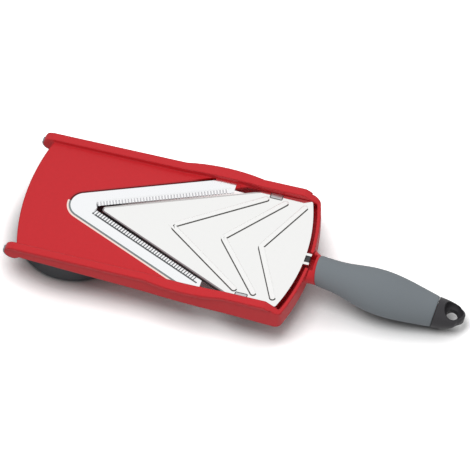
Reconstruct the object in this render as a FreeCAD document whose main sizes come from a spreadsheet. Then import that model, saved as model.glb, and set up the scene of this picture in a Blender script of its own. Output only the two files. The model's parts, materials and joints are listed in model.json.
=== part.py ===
"""Handheld V-blade mandoline slicer, as a parametric document of separate pieces.

Millimetres. The origin is on the table under the dial's axis, +X runs towards
the handle and +Z is up. Left is the user's left with the handle in hand, -Y.
"""
import FreeCAD, Part
import math
import os
import re

import Sketcher

Vector = FreeCAD.Vector
Rotation = FreeCAD.Rotation
Placement = FreeCAD.Placement

SIZES = (
    # Stance, deck and rails
    ("deck_height", 50.0, "top of the deck above the table"),
    ("deck_thick", 3.0, "wall of the deck"),
    ("front_reach", 46.0, "rail tips ahead of the dial's axis"),
    ("deck_front", 44.3, "deck's front edge ahead of the dial's axis"),
    ("front_bow", 8.0, "bow of the deck's front edge"),
    ("tip_round", 3.0, "corner radius of the rail tips"),
    ("half_front", 65.5, "half width over the lips at the front"),
    ("half_rear", 67.5, "half width over the lips at the rear"),
    ("body_rear", 205.5, "rear ends of the rails"),
    ("swell_start", 83.0, "where the rails begin to swell"),
    ("swell_end", 154.0, "where the rails' swell ends"),
    ("swell_out", 3.7, "outward swell of the rails"),
    ("swell_in", 1.2, "swell of the rails' inner sides"),
    ("swell_wall", 0.8, "swell of the skirts"),
    ("rail_width", 7.6, "width of a rail's top"),
    ("rail_rise", 6.0, "rail top above the deck at the rear"),
    ("rail_tip", 2.9, "rail top above the deck at the tips"),
    ("rail_slope", 13.5, "length of the rails' sloping rear ends"),
    ("lip_thick", 3.4, "thickness of the rails' outward lip"),
    ("lip_over", 1.3, "overhang of the lip past the skirt"),
    ("skirt_wall", 2.5, "wall of the side skirts"),
    ("skirt_front", 8.5, "skirt's lower edge below the deck at the tips"),
    ("skirt_rear", 20.5, "skirt's lower edge below the deck at the rear"),
    ("yoke_bow", 10.6, "bow of the rear yoke"),
    ("rear_round", 8.0, "radius of the rear corners"),
    ("yoke_width", 2.7, "width of the rear yoke"),
    ("yoke_drop", 2.5, "yoke's top below the deck's"),
    ("ledge_drop", 13.0, "trough floor below the deck's top"),
    ("ledge_thick", 3.0, "wall of the trough floor"),
    ("ledge_depth", 14.0, "length of the trough floor"),
    ("niche_half", 8.6, "half width of the niche for prongs and catch"),
    ("niche_reach", 13.9, "reach of the niche behind the rails' rear ends"),
    ("collar_half", 18.0, "half width of the collar at the yoke"),
    ("collar_height", 8.3, "half height of the collar at the yoke"),
    ("collar_length", 8.5, "length of the collar"),
    # Feet on the rail tips
    ("lobe_radius", 7.6, "round end of a rail tip"),
    ("foot_thick", 1.2, "thickness of a front foot"),
    ("foot_width", 5.2, "width of a front foot"),
    ("foot_sweep", 115.0, "angle a foot covers on its lobe"),
    # The V of the blade, its seat and its opening
    ("v_slope", 0.431, "sideways run of the V's edges per length"),
    ("blade_lead", 23.6, "meeting point of the blade's outer edges, ahead"),
    ("blade_width", 15.3, "width of a blade arm"),
    ("blade_thick", 1.2, "blade's sheet"),
    ("blade_proud", 0.6, "blade's top above the deck's"),
    ("blade_nose", 13.0, "radius of the blade's outer point"),
    ("edge_nose", 3.5, "radius where the two edges meet"),
    ("arm_half", 59.2, "half distance over the blade arms"),
    ("arm_tail", 130.5, "square ends of the blade arms"),
    ("edge_setback", 5.0, "opening's edge behind the cutting edge"),
    ("opening_nose", 6.0, "radius of the opening's point"),
    ("tooth_pitch", 2.7, "pitch of the serrations"),
    ("tooth_depth", 1.35, "depth of the flutes at the edge"),
    ("tooth_radius", 1.6, "radius of the ground flutes"),
    ("tooth_start", 6.0, "first serration's distance from the point of the V"),
    ("tooth_count", 43, "serrations on each edge"),
    ("bevel_width", 7.45, "width of the ground bevel"),
    ("bevel_nose", 12.4, "radius of the bevel's point"),
    ("bevel_depth", 0.7, "depth of the ground bevel at the edge"),
    ("seat_gap", 0.15, "clearance round a seated piece"),
    ("stud_radius", 1.5, "radius of a blade stud"),
    ("stud_length", 7.0, "length of a blade stud"),
    ("stud_front", 28.0, "front pair of studs"),
    ("stud_rear", 92.0, "rear pair of studs"),
    ("nut_radius", 3.1, "half width over a nut's corners"),
    ("nut_thick", 2.4, "thickness of a nut"),
    # Slicing plate
    ("edge_gap", 2.2, "gap between cutting edge and plate"),
    ("plate_nose", 3.2, "radius of the plate's point"),
    ("plate_half", 57.6, "half width where the plate's edges end"),
    ("plate_inset", 5.3, "plate's rear corners ahead of the rails' rear ends"),
    ("plate_corner_half", 59.4, "half width at the rear corners"),
    ("plate_bow", 10.4, "bow of the plate's rear edge"),
    ("plate_round", 2.5, "radius of the plate's rear corners"),
    ("plate_sheet", 1.0, "plate's sheet"),
    ("plate_skirt", 4.5, "height of the plate's turned-down edge"),
    ("rib_width", 4.0, "width of a pressed rib"),
    ("rib_height", 0.7, "height of a pressed rib"),
    ("rib_half", 50.6, "half width over the ribs' ends"),
    ("rib_one_point", 88.7, "point of the front rib"),
    ("rib_one_tail", 160.0, "ends of the front rib"),
    ("rib_two_point", 135.4, "point of the middle rib"),
    ("rib_two_tail", 177.6, "ends of the middle rib"),
    ("rib_three_point", 170.1, "point of the rear rib"),
    ("rib_three_tail", 195.4, "ends of the rear rib"),
    ("prong_width", 2.6, "width of a rear prong"),
    ("prong_spread", 4.8, "prong's middle from the midline"),
    ("prong_length", 4.6, "reach of a prong past the plate"),
    ("prong_drop", 2.0, "prong's top below the plate's"),
    # Carrier, lugs and drive pin
    ("carrier_thick", 3.0, "wall of the carrier"),
    ("spine_height", 4.0, "height of the carrier's ribs"),
    ("spine_width", 2.6, "width of the carrier's ribs"),
    ("leg_front", 34.0, "front of the carrier's leg"),
    ("leg_length", 10.0, "length of the leg's section"),
    ("leg_width", 8.4, "width of the leg's section"),
    ("sleeve_set", 12.2, "catch's sleeve starts ahead of the plate's corners"),
    ("sleeve_length", 16.0, "length of the catch's sleeve"),
    ("sleeve_wall", 1.6, "wall of the catch's sleeve"),
    ("leg_foot", 22.0, "leg's lower end above the table"),
    ("lug_place", 168.0, "middle of the guide lugs"),
    ("lug_length", 10.6, "length of a guide lug"),
    ("lug_half", 59.0, "half distance over the lugs"),
    ("lug_bite", 5.6, "how far a lug reaches in"),
    ("lug_foot", 10.0, "length of a lug's foot under the carrier"),
    ("lug_depth", 10.2, "height of a guide lug"),
    ("lug_air", 0.4, "clearance from a lug to the skirt"),
    ("tongue_width", 4.8, "width of a lug's inclined tongue"),
    ("tongue_span", 3.4, "tongue's length between its end centres"),
    ("tongue_reach", 2.0, "tongue's reach into its slot"),
    ("tongue_drop", 6.4, "tongue's middle below the deck's top"),
    ("slide_gap", 0.15, "running clearance of slides"),
    ("plate_travel", 5.0, "plate's drop from thinnest to thickest"),
    ("plate_back", 2.0, "plate's shift to the rear as it drops"),
    ("pin_radius", 2.0, "drive pin"),
    ("pin_sink", 10.0, "drive pin's length in the leg"),
    ("pin_tip", 13.0, "drive pin's lower end above the table"),
    # Catch
    ("catch_width", 6.2, "width of the catch"),
    ("catch_thick", 2.4, "thickness of the catch's slide"),
    ("catch_set", 10.2, "catch's slide starts ahead of the plate's corners"),
    ("catch_nose", 3.8, "length of the catch's nose"),
    ("catch_rise", 5.0, "height of the catch's nose"),
    ("catch_travel", 1.5, "travel of the catch"),
    # Dial and its bearing
    ("dial_radius", 50.0, "largest radius of the dial"),
    ("dial_top", 16.0, "dial's top above the table"),
    ("dial_rim", 47.6, "radius of the dial's top edge"),
    ("dial_base", 48.8, "radius of the dial's underside"),
    ("dial_belly", 2.4, "height of the dial's largest radius"),
    ("dial_low_round", 2.0, "rounding under the dial's largest radius"),
    ("dial_side_round", 40.0, "bulge of the dial's side"),
    ("dial_edge", 1.3, "chamfer of the dial's top edge"),
    ("pad_radius", 47.0, "soft pad under the dial"),
    ("pad_thick", 1.2, "thickness of the soft pad"),
    ("dial_turn", 300.0, "turn of the dial from thinnest to thickest"),
    ("scroll_start", 37.0, "scroll's radius at the thinnest setting"),
    ("scroll_depth", 8.6, "depth of the scroll"),
    ("pylon_radius", 8.5, "round part of the pylon"),
    ("pylon_tail", 13.0, "pylon's sharp rear edge"),
    ("pylon_foot", 15.0, "radius of the pylon's foot"),
    ("pylon_flange", 5.0, "thickness of the pylon's foot"),
    ("dial_air", 0.4, "gap between the dial and the pylon"),
    ("axle_radius", 4.0, "shoulder of the dial's screw"),
    ("axle_fit", 0.05, "radial running clearance on the shoulder"),
    ("head_radius", 7.5, "head of the dial's screw"),
    ("head_thick", 2.0, "thickness of the screw's head"),
    ("washer_radius", 9.0, "washer under the head"),
    ("washer_thick", 1.0, "thickness of the washer"),
    ("thread_radius", 3.0, "screw's thread"),
    ("thread_length", 12.0, "length of the thread"),
    ("insert_radius", 4.5, "brass insert in the pylon"),
    ("bush_radius", 6.5, "bush in the dial"),
    ("hub_recess", 10.5, "recess for the screw's head"),
    ("hub_floor", 5.2, "seat of the washer above the table"),
    ("detent_place", 11.5, "click stop's distance from the axis"),
    ("detent_radius", 2.2, "body of the click stop"),
    ("detent_length", 4.2, "length of the click stop"),
    ("ball_radius", 1.4, "ball of the click stop"),
    ("track_depth", 0.5, "depth of the ball's track"),
    ("click_count", 11, "click places round the dial"),
    # Handle
    ("neck_set", 17.5, "front of the grip behind the rails' rear ends"),
    ("neck_height", 35.2, "handle's axis above the table at the grip's front"),
    ("grip_fall", 10.6, "handle's fall towards its end, degrees"),
    ("neck_rake", 16.0, "forward lean of the grip's front edge, degrees"),
    ("grip_length", 108.0, "length of the grip"),
    ("neck_half", 13.8, "half width of the grip's front"),
    ("neck_deep", 12.7, "half depth there"),
    ("waist_place", 21.0, "waist of the grip behind its front"),
    ("waist_half", 15.1, "half width of the waist"),
    ("waist_deep", 13.9, "half depth there"),
    ("shoulder_place", 42.0, "shoulder of the grip behind its front"),
    ("shoulder_half", 19.1, "half width of the shoulder"),
    ("shoulder_deep", 17.6, "half depth there"),
    ("belly_place", 56.0, "belly of the grip behind its front"),
    ("belly_half", 20.5, "half width of the belly"),
    ("belly_deep", 18.9, "half depth there"),
    ("palm_place", 73.0, "palm rest of the grip behind its front"),
    ("palm_half", 19.7, "half width of the palm rest"),
    ("palm_deep", 18.4, "half depth there"),
    ("taper_place", 90.0, "taper of the grip behind its front"),
    ("taper_half", 17.0, "half width of the taper"),
    ("taper_deep", 16.8, "half depth there"),
    ("heel_half", 13.3, "half width of the grip's end"),
    ("heel_deep", 15.5, "half depth there"),
    ("tang_radius", 6.5, "moulded core inside the grip"),
    ("tang_over", 3.2, "core's reach into the end cap"),
    ("cap_gap", 0.4, "seam between grip and end cap"),
    ("cap_length", 26.2, "length of the end cap"),
    ("cap_tip_half", 6.2, "half width of the cap's tip"),
    ("cap_tip_deep", 5.2, "half depth of the cap's tip"),
    ("cap_lift", 4.6, "rise of the cap's tip towards level"),
    ("cap_round", 2.6, "rounding of the cap's tip"),
    ("hang_radius", 5.3, "hanging hole"),
    ("hang_place", 15.1, "hanging hole behind the cap's front"),
    ("dish_web", 1.0, "least web between the two dishes"),
    ("dish_ball", 9.2, "ball radius of the dishes round the hole"),
)

doc = FreeCAD.newDocument("mandoline_slicer")
sheet = doc.addObject("Spreadsheet::Sheet", "Sizes")
for row, (alias, value, meaning) in enumerate(SIZES, start=1):
    sheet.set("A%d" % row, str(value))
    sheet.setAlias("A%d" % row, alias)
    sheet.set("B%d" % row, meaning)
doc.recompute()

ALIAS = re.compile(r"\b(%s)\b" % "|".join(name for name, _, _ in SIZES))
# Shift of the apex along X for an offset of one across the V's edge
ACROSS = "sqrt(1 + v_slope^2) / v_slope"
RAIL_TOP = "(deck_height + rail_rise)"
TIP_TOP = "(deck_height + rail_tip)"
TIP_INNER = "(half_front - rail_width)"
# Length of a rear corner's rounding along the side, in radii
CORNER_RUN = "0.72"
TRAVEL = "sqrt(plate_back^2 + plate_travel^2)"
V_ANGLE = math.degrees(math.atan(sheet.v_slope))


def cell(text):
    """The expression with every size read from the sheet."""
    return ALIAS.sub(r"Sizes.\1", str(text))


def value(text):
    """The expression's number at the sheet's present sizes."""
    return float(sheet.evalExpression(ALIAS.sub(r"\1", str(text))))


def bind(item, **sizes):
    """Bind properties of an object to expressions of the sizes."""
    for name, text in sizes.items():
        item.setExpression(name, cell(text))
    return item


def at(item, x="0", y="0", z="0", turn=None):
    """Place an object by expressions of the sizes."""
    if turn is not None:
        item.Placement = Placement(Vector(), turn)
    for axis, text in (("x", x), ("y", y), ("z", z)):
        item.setExpression("Placement.Base.%s" % axis, cell(text))
    return item


def part(kind, name, **sizes):
    """A Part primitive with its sizes bound."""
    return bind(doc.addObject("Part::%s" % kind, name), **sizes)


def cut(name, base, tool):
    """One shape less another."""
    item = doc.addObject("Part::Cut", name)
    item.Base = base
    item.Tool = tool
    return item


def fuse(name, shapes):
    """Several shapes as one solid."""
    item = doc.addObject("Part::MultiFuse", name)
    item.Shapes = shapes
    item.Refine = True
    return item


def group(name, shapes):
    """Several separate solids in one node."""
    item = doc.addObject("Part::Compound", name)
    item.Links = shapes
    return item


def new_body(name):
    """An empty body."""
    return doc.addObject("PartDesign::Body", name)


def plane(body, role):
    """One of a body's own origin planes or axes."""
    return next(item for item in body.Origin.OriginFeatures if item.Role == role)


def new_sketch(body, name, role="XY_Plane", height="0"):
    """An empty sketch on a body's plane, moved along the plane's normal."""
    sketch = body.newObject("Sketcher::SketchObject", name)
    sketch.AttachmentSupport = [(plane(body, role), "")]
    sketch.MapMode = "FlatFace"
    sketch.setExpression("AttachmentOffset.Base.z", cell(height))
    return sketch


def hold(sketch, geometry, end, x, y):
    """Fix one end of a sketch line or arc at expressions of the sizes."""
    for kind, text in (("DistanceX", x), ("DistanceY", y)):
        index = sketch.addConstraint(
            Sketcher.Constraint(kind, -1, 1, geometry, end, value(text)))
        sketch.setExpression("Constraints[%d]" % index, cell(text))


def arc_between(start, end, radius, side):
    """The arc of under half a turn between two points that bows to a side.

    A side of 1 bows to the right of the way from start to end, and -1 to the left.
    """
    chord = end - start
    across = Vector(chord.y, -chord.x, 0).normalize() * side
    rise = math.sqrt(radius ** 2 - (chord.Length / 2) ** 2)
    centre = (start + end) * 0.5 - across * rise
    first = math.atan2(start.y - centre.y, start.x - centre.x)
    last = math.atan2(end.y - centre.y, end.x - centre.x)
    if side < 0:
        first, last = last, first
    circle = Part.Circle(centre, Vector(0, 0, 1), radius)
    return Part.ArcOfCircle(circle, first, first + (last - first) % (2 * math.pi))


def outline(sketch, corners, arcs=None):
    """A closed outline whose corners are expressions of the sizes.

    arcs maps a corner's index to the radius and side of the arc that leaves it.
    """
    arcs = arcs or {}
    spots = [Vector(value(x), value(y), 0) for x, y in corners]
    ends = []
    for index, spot in enumerate(spots):
        following = spots[(index + 1) % len(spots)]
        if index in arcs:
            radius, side = arcs[index]
            arc = arc_between(spot, following, value(radius), side)
            geometry = sketch.addGeometry(arc, False)
            starts_here = sketch.getPoint(geometry, 1).distanceToPoint(spot) < 1e-6
            ends.append((geometry, 1 if starts_here else 2, 2 if starts_here else 1))
        else:
            geometry = sketch.addGeometry(Part.LineSegment(spot, following), False)
            ends.append((geometry, 1, 2))
    for index, (geometry, first, last) in enumerate(ends):
        following, start, _ = ends[(index + 1) % len(ends)]
        sketch.addConstraint(Sketcher.Constraint("Coincident", geometry, last, following, start))
    for index, (x, y) in enumerate(corners):
        geometry, first, _ = ends[index]
        hold(sketch, geometry, first, x, y)
        if index in arcs:
            radius = arcs[index][0]
            number = sketch.addConstraint(Sketcher.Constraint("Radius", geometry, value(radius)))
            sketch.setExpression("Constraints[%d]" % number, cell(radius))
    return sketch


def ring(sketch, radius, x="0", y="0"):
    """A circle in a sketch."""
    circle = Part.Circle(Vector(value(x), value(y), 0), Vector(0, 0, 1), value(radius))
    geometry = sketch.addGeometry(circle, False)
    number = sketch.addConstraint(Sketcher.Constraint("Radius", geometry, value(radius)))
    sketch.setExpression("Constraints[%d]" % number, cell(radius))
    hold(sketch, geometry, 3, x, y)
    return sketch


def pad(body, name, sketch, length, both=False, down=False):
    """Extrude a sketch."""
    item = body.newObject("PartDesign::Pad", name)
    item.Profile = sketch
    item.Midplane = both
    item.Reversed = down
    return bind(item, Length=length)


def pocket(body, name, sketch, length, both=False, up=False):
    """Cut a sketch out of a body and make sure that something was cut."""
    item = body.newObject("PartDesign::Pocket", name)
    item.Profile = sketch
    item.Midplane = both
    item.Reversed = up
    bind(item, Length=length)
    doc.recompute()
    before = item.BaseFeature.Shape.Volume
    if before - item.Shape.Volume < 1e-3:
        raise ValueError("%s cuts nothing" % name)
    return item


def upright_edges(feature, spots):
    """Names of a feature's vertical edges that stand at the given corners."""
    doc.recompute()
    wanted = [(value(x), value(y)) for x, y in spots]
    names = []
    for number, edge in enumerate(feature.Shape.Edges, start=1):
        one, two = edge.Vertexes[0].Point, edge.Vertexes[-1].Point
        if math.hypot(one.x - two.x, one.y - two.y) > 1e-4 or abs(one.z - two.z) < 1e-4:
            continue
        if any(math.hypot(one.x - x, one.y - y) < 1e-3 for x, y in wanted):
            names.append("Edge%d" % number)
    return names


def round_off(body, name, feature, spots, radius):
    """Fillet a feature's vertical edges at the given corners."""
    names = upright_edges(feature, spots)
    item = body.newObject("PartDesign::Fillet", name)
    item.Base = (feature, names)
    return bind(item, Radius=radius)


def both_sides(corners):
    """The corners with their mirror images across the midline, in order round the outline."""
    return corners + [(x, "-(%s)" % y) for x, y in reversed(corners)]


def half_at(x):
    """Half width over the lips at a place along the body, without the swell."""
    run = "(front_reach + body_rear)"
    return "(half_front + (half_rear - half_front) * (front_reach + (%s)) / %s)" % (x, run)


def bow_radius(half_chord, bow):
    """Radius of an arc from half its chord and its bow."""
    return "((%s)^2 + (%s)^2) / (2 * (%s))" % (half_chord, bow, bow)


OPEN_FRONT = "-front_reach - 2 * deck_thick"
OPEN_REAR = "body_rear + yoke_bow + 2 * deck_thick"


def body_outline(sketch, inset, front=None, rear=None, rear_back="0", swell="swell_out"):
    """The body's plan, drawn in by an inset at the sides.

    With front and rear given, both ends are square at those places. Otherwise the
    front bows between the two tips, and the rear bows as the yoke does.
    """
    half = [
        (front or "-front_reach", "%s - %s" % (half_at("-front_reach"), inset)),
        ("swell_start", "%s - %s" % (half_at("swell_start"), inset)),
        ("swell_end", "%s - %s" % (half_at("swell_end"), inset)),
    ]
    bulge = (bow_radius("(swell_end - swell_start) / 2", swell), -1)
    wide = "(half_rear - %s)" % inset
    if rear is None:
        corner = "(rear_round - %s)" % inset
        run = "%s * %s" % (CORNER_RUN, corner)
        back = "body_rear - (%s)" % rear_back
        turned = "%s + yoke_bow * (1 - ((%s - %s) / %s)^2)" % (back, wide, run, wide)
        half += [("%s - %s" % (back, run), "%s - %s" % (half_at("body_rear - %s" % run), inset)),
                 (turned, "%s - %s" % (wide, run))]
        yoke = (bow_radius(wide, "yoke_bow"), -1)
        arcs = {1: bulge, 3: (corner, -1), 4: yoke, 5: (corner, -1), 7: bulge}
    else:
        half.append((rear, wide))
        arcs = {1: bulge, 5: bulge}
    corners = both_sides(half)
    if front is None:
        deck_corner = "-deck_front + front_bow"
        arcs[len(corners) + 1] = (bow_radius(TIP_INNER, "front_bow"), -1)
        corners += [("-front_reach", "-" + TIP_INNER), (deck_corner, "-" + TIP_INNER),
                    (deck_corner, TIP_INNER), ("-front_reach", TIP_INNER)]
    return outline(sketch, corners, arcs)


def v_line(lead, y):
    """Place along X where an edge of the V with a given apex is y off the midline."""
    return "(%s) + (%s) / v_slope" % (lead, y)


BLADE_EDGE = "-blade_lead + blade_width * %s" % ACROSS
PLATE_REAR = "(body_rear - plate_inset)"
SLEEVE_FRONT = "(%s - sleeve_set)" % PLATE_REAR
NECK = "(body_rear + neck_set)"
OPENING_LEAD = "-blade_lead + (blade_width - edge_setback) * %s" % ACROSS
STUD_LEAD = "-blade_lead + (blade_width - edge_setback) / 2 * %s" % ACROSS
PLATE_LEAD = "-blade_lead + (blade_width + edge_gap) * %s" % ACROSS
PLATE_TOP = "(deck_height + blade_proud)"
HANDLE_TURN = Rotation(Vector(0, 1, 0), sheet.grip_fall)


def stud_places():
    """The four places of the blade's studs."""
    return [(x, "%s * v_slope * ((%s) - (%s))" % (side, x, STUD_LEAD))
            for x in ("stud_front", "stud_rear") for side in ("1", "-1")]


def oval(name, along, half_width, half_depth, rise="0", rake="0"):
    """An upright oval across the handle's own axis, leaning forward by a rake."""
    wide = value(half_width) >= value(half_depth)
    sizes = (half_width, half_depth) if wide else (half_depth, half_width)
    item = part("Ellipse", name, MajorRadius=sizes[0], MinorRadius=sizes[1])
    across = (Vector(0, 1, 0), Vector(0, 0, 1)) if wide else (Vector(0, 0, 1), Vector(0, -1, 0))
    lean = Rotation(Vector(0, 1, 0), -value(rake))
    return at(item, x=along, z=rise, turn=lean * Rotation(across[0], across[1], Vector(1, 0, 0), "ZXY"))


def loft(name, sections):
    """A solid skin through ovals."""
    item = doc.addObject("Part::Loft", name)
    item.Sections = sections
    item.Solid = True
    item.Ruled = False
    return item


def along_handle(item):
    """Set a piece that was built along +X onto the falling axis of the handle."""
    at(item, x=NECK, z="neck_height", turn=HANDLE_TURN)
    item.setExpression("Placement.Rotation.Angle", cell("grip_fall * 1 deg"))
    return item


def frame():
    """Red moulding: deck, rails with lips, skirts, yoke, pylon, guides, collar and core."""
    body = new_body("frame_shell")
    low = "deck_height - skirt_rear - ledge_thick"
    lip_foot = "%s - lip_thick" % TIP_TOP
    lips = body_outline(new_sketch(body, "lips_plan", height=lip_foot), "0")
    lips = pad(body, "lips", lips, "%s - (%s)" % (RAIL_TOP, lip_foot))
    tips = [("-front_reach", half_at("-front_reach")), ("-front_reach", "-" + half_at("-front_reach"))]
    round_off(body, "tip_rounds", lips, tips, "tip_round")
    under = new_sketch(body, "lip_under_profile", "XZ_Plane")
    outline(under, [(OPEN_FRONT, lip_foot), (OPEN_FRONT, "%s - 1" % lip_foot),
                    (OPEN_REAR, "%s - 1" % lip_foot), (OPEN_REAR, "%s - lip_thick" % RAIL_TOP)])
    pocket(body, "lip_under", under, "4 * half_rear", both=True)
    over = new_sketch(body, "rail_top_profile", "XZ_Plane")
    outline(over, [(OPEN_FRONT, TIP_TOP), ("body_rear - rail_slope", RAIL_TOP),
                   ("body_rear - rail_slope", "%s + 1" % RAIL_TOP), (OPEN_FRONT, "%s + 1" % RAIL_TOP)])
    pocket(body, "rail_tops", over, "4 * half_rear", both=True)
    walls = body_outline(new_sketch(body, "walls_plan", height=low), "lip_over", swell="swell_wall")
    pad(body, "walls", walls, "%s - (%s)" % (TIP_TOP, low))

    # Channel between the rails, hollow underside and the rails' falling rear ends
    channel = body_outline(new_sketch(body, "channel_plan", height="%s + 1" % RAIL_TOP),
                           "rail_width", OPEN_FRONT, OPEN_REAR, swell="swell_in")
    pocket(body, "channel", channel, "rail_rise + 1")
    hollow = body_outline(new_sketch(body, "hollow_plan", height=low), "(lip_over + skirt_wall)",
                          OPEN_FRONT, None, "yoke_width", "swell_wall")
    pocket(body, "hollow", hollow, "deck_height - deck_thick - (%s)" % low, up=True)
    side = new_sketch(body, "rail_end_profile", "XZ_Plane")
    outline(side, [("body_rear - rail_slope", RAIL_TOP), ("body_rear", "deck_height - yoke_drop"),
                   (OPEN_REAR, "deck_height - yoke_drop"), (OPEN_REAR, "%s + 1" % RAIL_TOP),
                   ("body_rear - rail_slope", "%s + 1" % RAIL_TOP)])
    pocket(body, "rail_ends", side, "4 * half_rear", both=True)
    skirt = new_sketch(body, "skirt_profile", "XZ_Plane")
    outline(skirt, [(OPEN_FRONT, "deck_height - skirt_front"), (OPEN_FRONT, "(%s) - 1" % low),
                    (OPEN_REAR, "(%s) - 1" % low), (OPEN_REAR, "deck_height - skirt_rear")])
    pocket(body, "skirt_edge", skirt, "4 * half_rear", both=True)

    # Opening of the V, with the blade's seat round it
    rail_inner = "half_rear - lip_over - skirt_wall"
    mouth = "%s - rail_width" % half_at("swell_end")
    mouth_rear = "half_rear - rail_width"
    mouth_share = "((%s) / (%s))^2" % (mouth_rear, rail_inner)
    mouth_end = "body_rear - yoke_width + yoke_bow * (1 - %s) - seat_gap" % mouth_share
    opening = outline(
        new_sketch(body, "opening_plan", height="deck_height"),
        both_sides([(v_line(OPENING_LEAD, mouth), mouth), ("swell_end", mouth), (mouth_end, mouth_rear)])
        + [(OPENING_LEAD, "0")],
        {2: (bow_radius(mouth_rear, "yoke_bow * %s" % mouth_share), -1)})
    opening = pocket(body, "opening", opening, "deck_thick + 1")
    round_off(body, "opening_point", opening, [(OPENING_LEAD, "0")], "opening_nose")
    seat_lead = "-blade_lead - seat_gap * %s" % ACROSS
    seat_half = "arm_half + seat_gap"
    seat = outline(
        new_sketch(body, "seat_plan", height="deck_height + 1"),
        [(seat_lead, "0"), (v_line(seat_lead, seat_half), seat_half), ("arm_tail + 4", seat_half),
         ("arm_tail + 4", "-(%s)" % seat_half), (v_line(seat_lead, seat_half), "-(%s)" % seat_half)])
    seat = pocket(body, "seat", seat, "1 + blade_thick - blade_proud")
    round_off(body, "seat_point", seat, [(seat_lead, "0")], "blade_nose + seat_gap")

    # Floor of the trough behind the plate
    floor_half = "(%s + skirt_wall / 2)" % rail_inner
    floor_bend = bow_radius(floor_half, "yoke_bow")
    floor_front = "body_rear - yoke_width - ledge_depth"
    floor = outline(
        new_sketch(body, "floor_plan", height="deck_height - ledge_drop - ledge_thick"),
        both_sides([(floor_front, floor_half), ("body_rear - yoke_width / 2", floor_half)]),
        {1: (floor_bend, -1), 3: (floor_bend, 1)})
    pad(body, "trough_floor", floor, "ledge_thick")

    # Pylon that carries the dial, sharp towards the blade to part the slices
    reach = "(pylon_radius^2 / pylon_tail)"
    spread = "sqrt(pylon_radius^2 - %s^2)" % reach
    pylon_low = "dial_top + dial_air"
    drop = outline(
        new_sketch(body, "pylon_plan", height=pylon_low),
        [("pylon_tail", "0"), (reach, spread), ("-pylon_radius", "0"), (reach, "-%s" % spread)],
        {1: ("pylon_radius", 1), 2: ("pylon_radius", 1)})
    pad(body, "pylon", drop, "deck_height - deck_thick / 2 - (%s)" % pylon_low)
    flange = ring(new_sketch(body, "pylon_foot_plan", height=pylon_low), "pylon_foot")
    pad(body, "pylon_foot_disc", flange, "pylon_flange")
    bore = ring(new_sketch(body, "insert_bore_plan", height=pylon_low), "insert_radius")
    pocket(body, "insert_bore", bore, "thread_length + 1", up=True)
    click = ring(new_sketch(body, "detent_bore_plan", height=pylon_low), "detent_radius", "-detent_place")
    pocket(body, "detent_bore", click, "detent_length + 0.5", up=True)
    studs = new_sketch(body, "stud_holes_plan", height="deck_height")
    for x, y in stud_places():
        ring(studs, "stud_radius + seat_gap", x, y)
    pocket(body, "stud_holes", studs, "deck_thick + 1")

    # Round tips of the rails
    x_tip = "-front_reach + lobe_radius"
    z_tip = "(%s - lobe_radius)" % TIP_TOP
    beyond = "(lobe_radius + deck_thick)"
    bend = ("lobe_radius", -1)
    for sign, name in (("-1", "right"), ("1", "left")):
        trim = new_sketch(body, "tip_%s_profile" % name, "XZ_Plane", "%s * %s" % (sign, TIP_INNER))
        outline(trim, [(x_tip, "%s - lobe_radius" % z_tip), ("-front_reach", z_tip), (x_tip, TIP_TOP),
                       (x_tip, "%s + %s" % (z_tip, beyond)), (OPEN_FRONT, "%s + %s" % (z_tip, beyond)),
                       (OPEN_FRONT, "%s - %s" % (z_tip, beyond)), (x_tip, "%s - %s" % (z_tip, beyond))],
                {0: bend, 1: bend})
        pocket(body, "tip_%s" % name, trim, "2 * rail_width", up=sign == "1")
        disc = new_sketch(body, "lobe_%s_profile" % name, "XZ_Plane", "%s * %s" % (sign, TIP_INNER))
        ring(disc, "lobe_radius", x_tip, z_tip)
        pad(body, "lobe_%s" % name, disc, "rail_width - lip_over", down=sign == "-1")

    # Guides with inclined slots for the plate's lugs
    half = "(tongue_width + plate_back + 3)"
    inner = "(lug_half + lug_air)"
    low_guide = "deck_height - skirt_rear + 1"
    for sign, name in (("1", "right"), ("-1", "left")):
        block = new_sketch(body, "guide_%s_plan" % name, height=low_guide)
        outline(block, [("lug_place - %s" % half, "%s * %s" % (sign, inner)),
                        ("lug_place + %s" % half, "%s * %s" % (sign, inner)),
                        ("lug_place + %s" % half, "%s * (%s + seat_gap)" % (sign, rail_inner)),
                        ("lug_place - %s" % half, "%s * (%s + seat_gap)" % (sign, rail_inner))])
        pad(body, "guide_%s" % name, block, "skirt_rear - deck_thick / 2 - 1")
        slot = new_sketch(body, "slot_%s_profile" % name, "XZ_Plane", "-(%s) * %s" % (sign, inner))
        obround(slot, "tongue_width / 2 + slide_gap", TRAVEL)
        pocket(body, "slot_%s" % name, slot, "tongue_reach + slide_gap", up=sign == "-1")

    # Collar and moulded core, and the niche for the plate's prongs and catch
    collar = loft("collar", [
        oval("collar_root", "-collar_length", "collar_half", "collar_height", "collar_length / 5"),
        oval("collar_middle", "-collar_length / 2", "(collar_half + neck_half) / 2 - 0.8",
             "(collar_height + neck_deep) / 2 + 0.2", "collar_length / 12", "neck_rake / 2"),
        oval("collar_end", "0", "neck_half - 0.4", "neck_deep - 0.4", "0", "neck_rake")])
    along_handle(collar)
    tang = core("tang", "tang_radius", "-collar_length / 2", "grip_length + tang_over")
    whole = fuse("frame_blank", [body, collar, tang])
    niche = part("Box", "niche", Length="niche_reach + yoke_width", Width="2 * niche_half",
                 Height="ledge_drop + 1")
    at(niche, "body_rear - yoke_width", "-niche_half", "deck_height - ledge_drop")
    return cut("frame", whole, niche)


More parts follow.
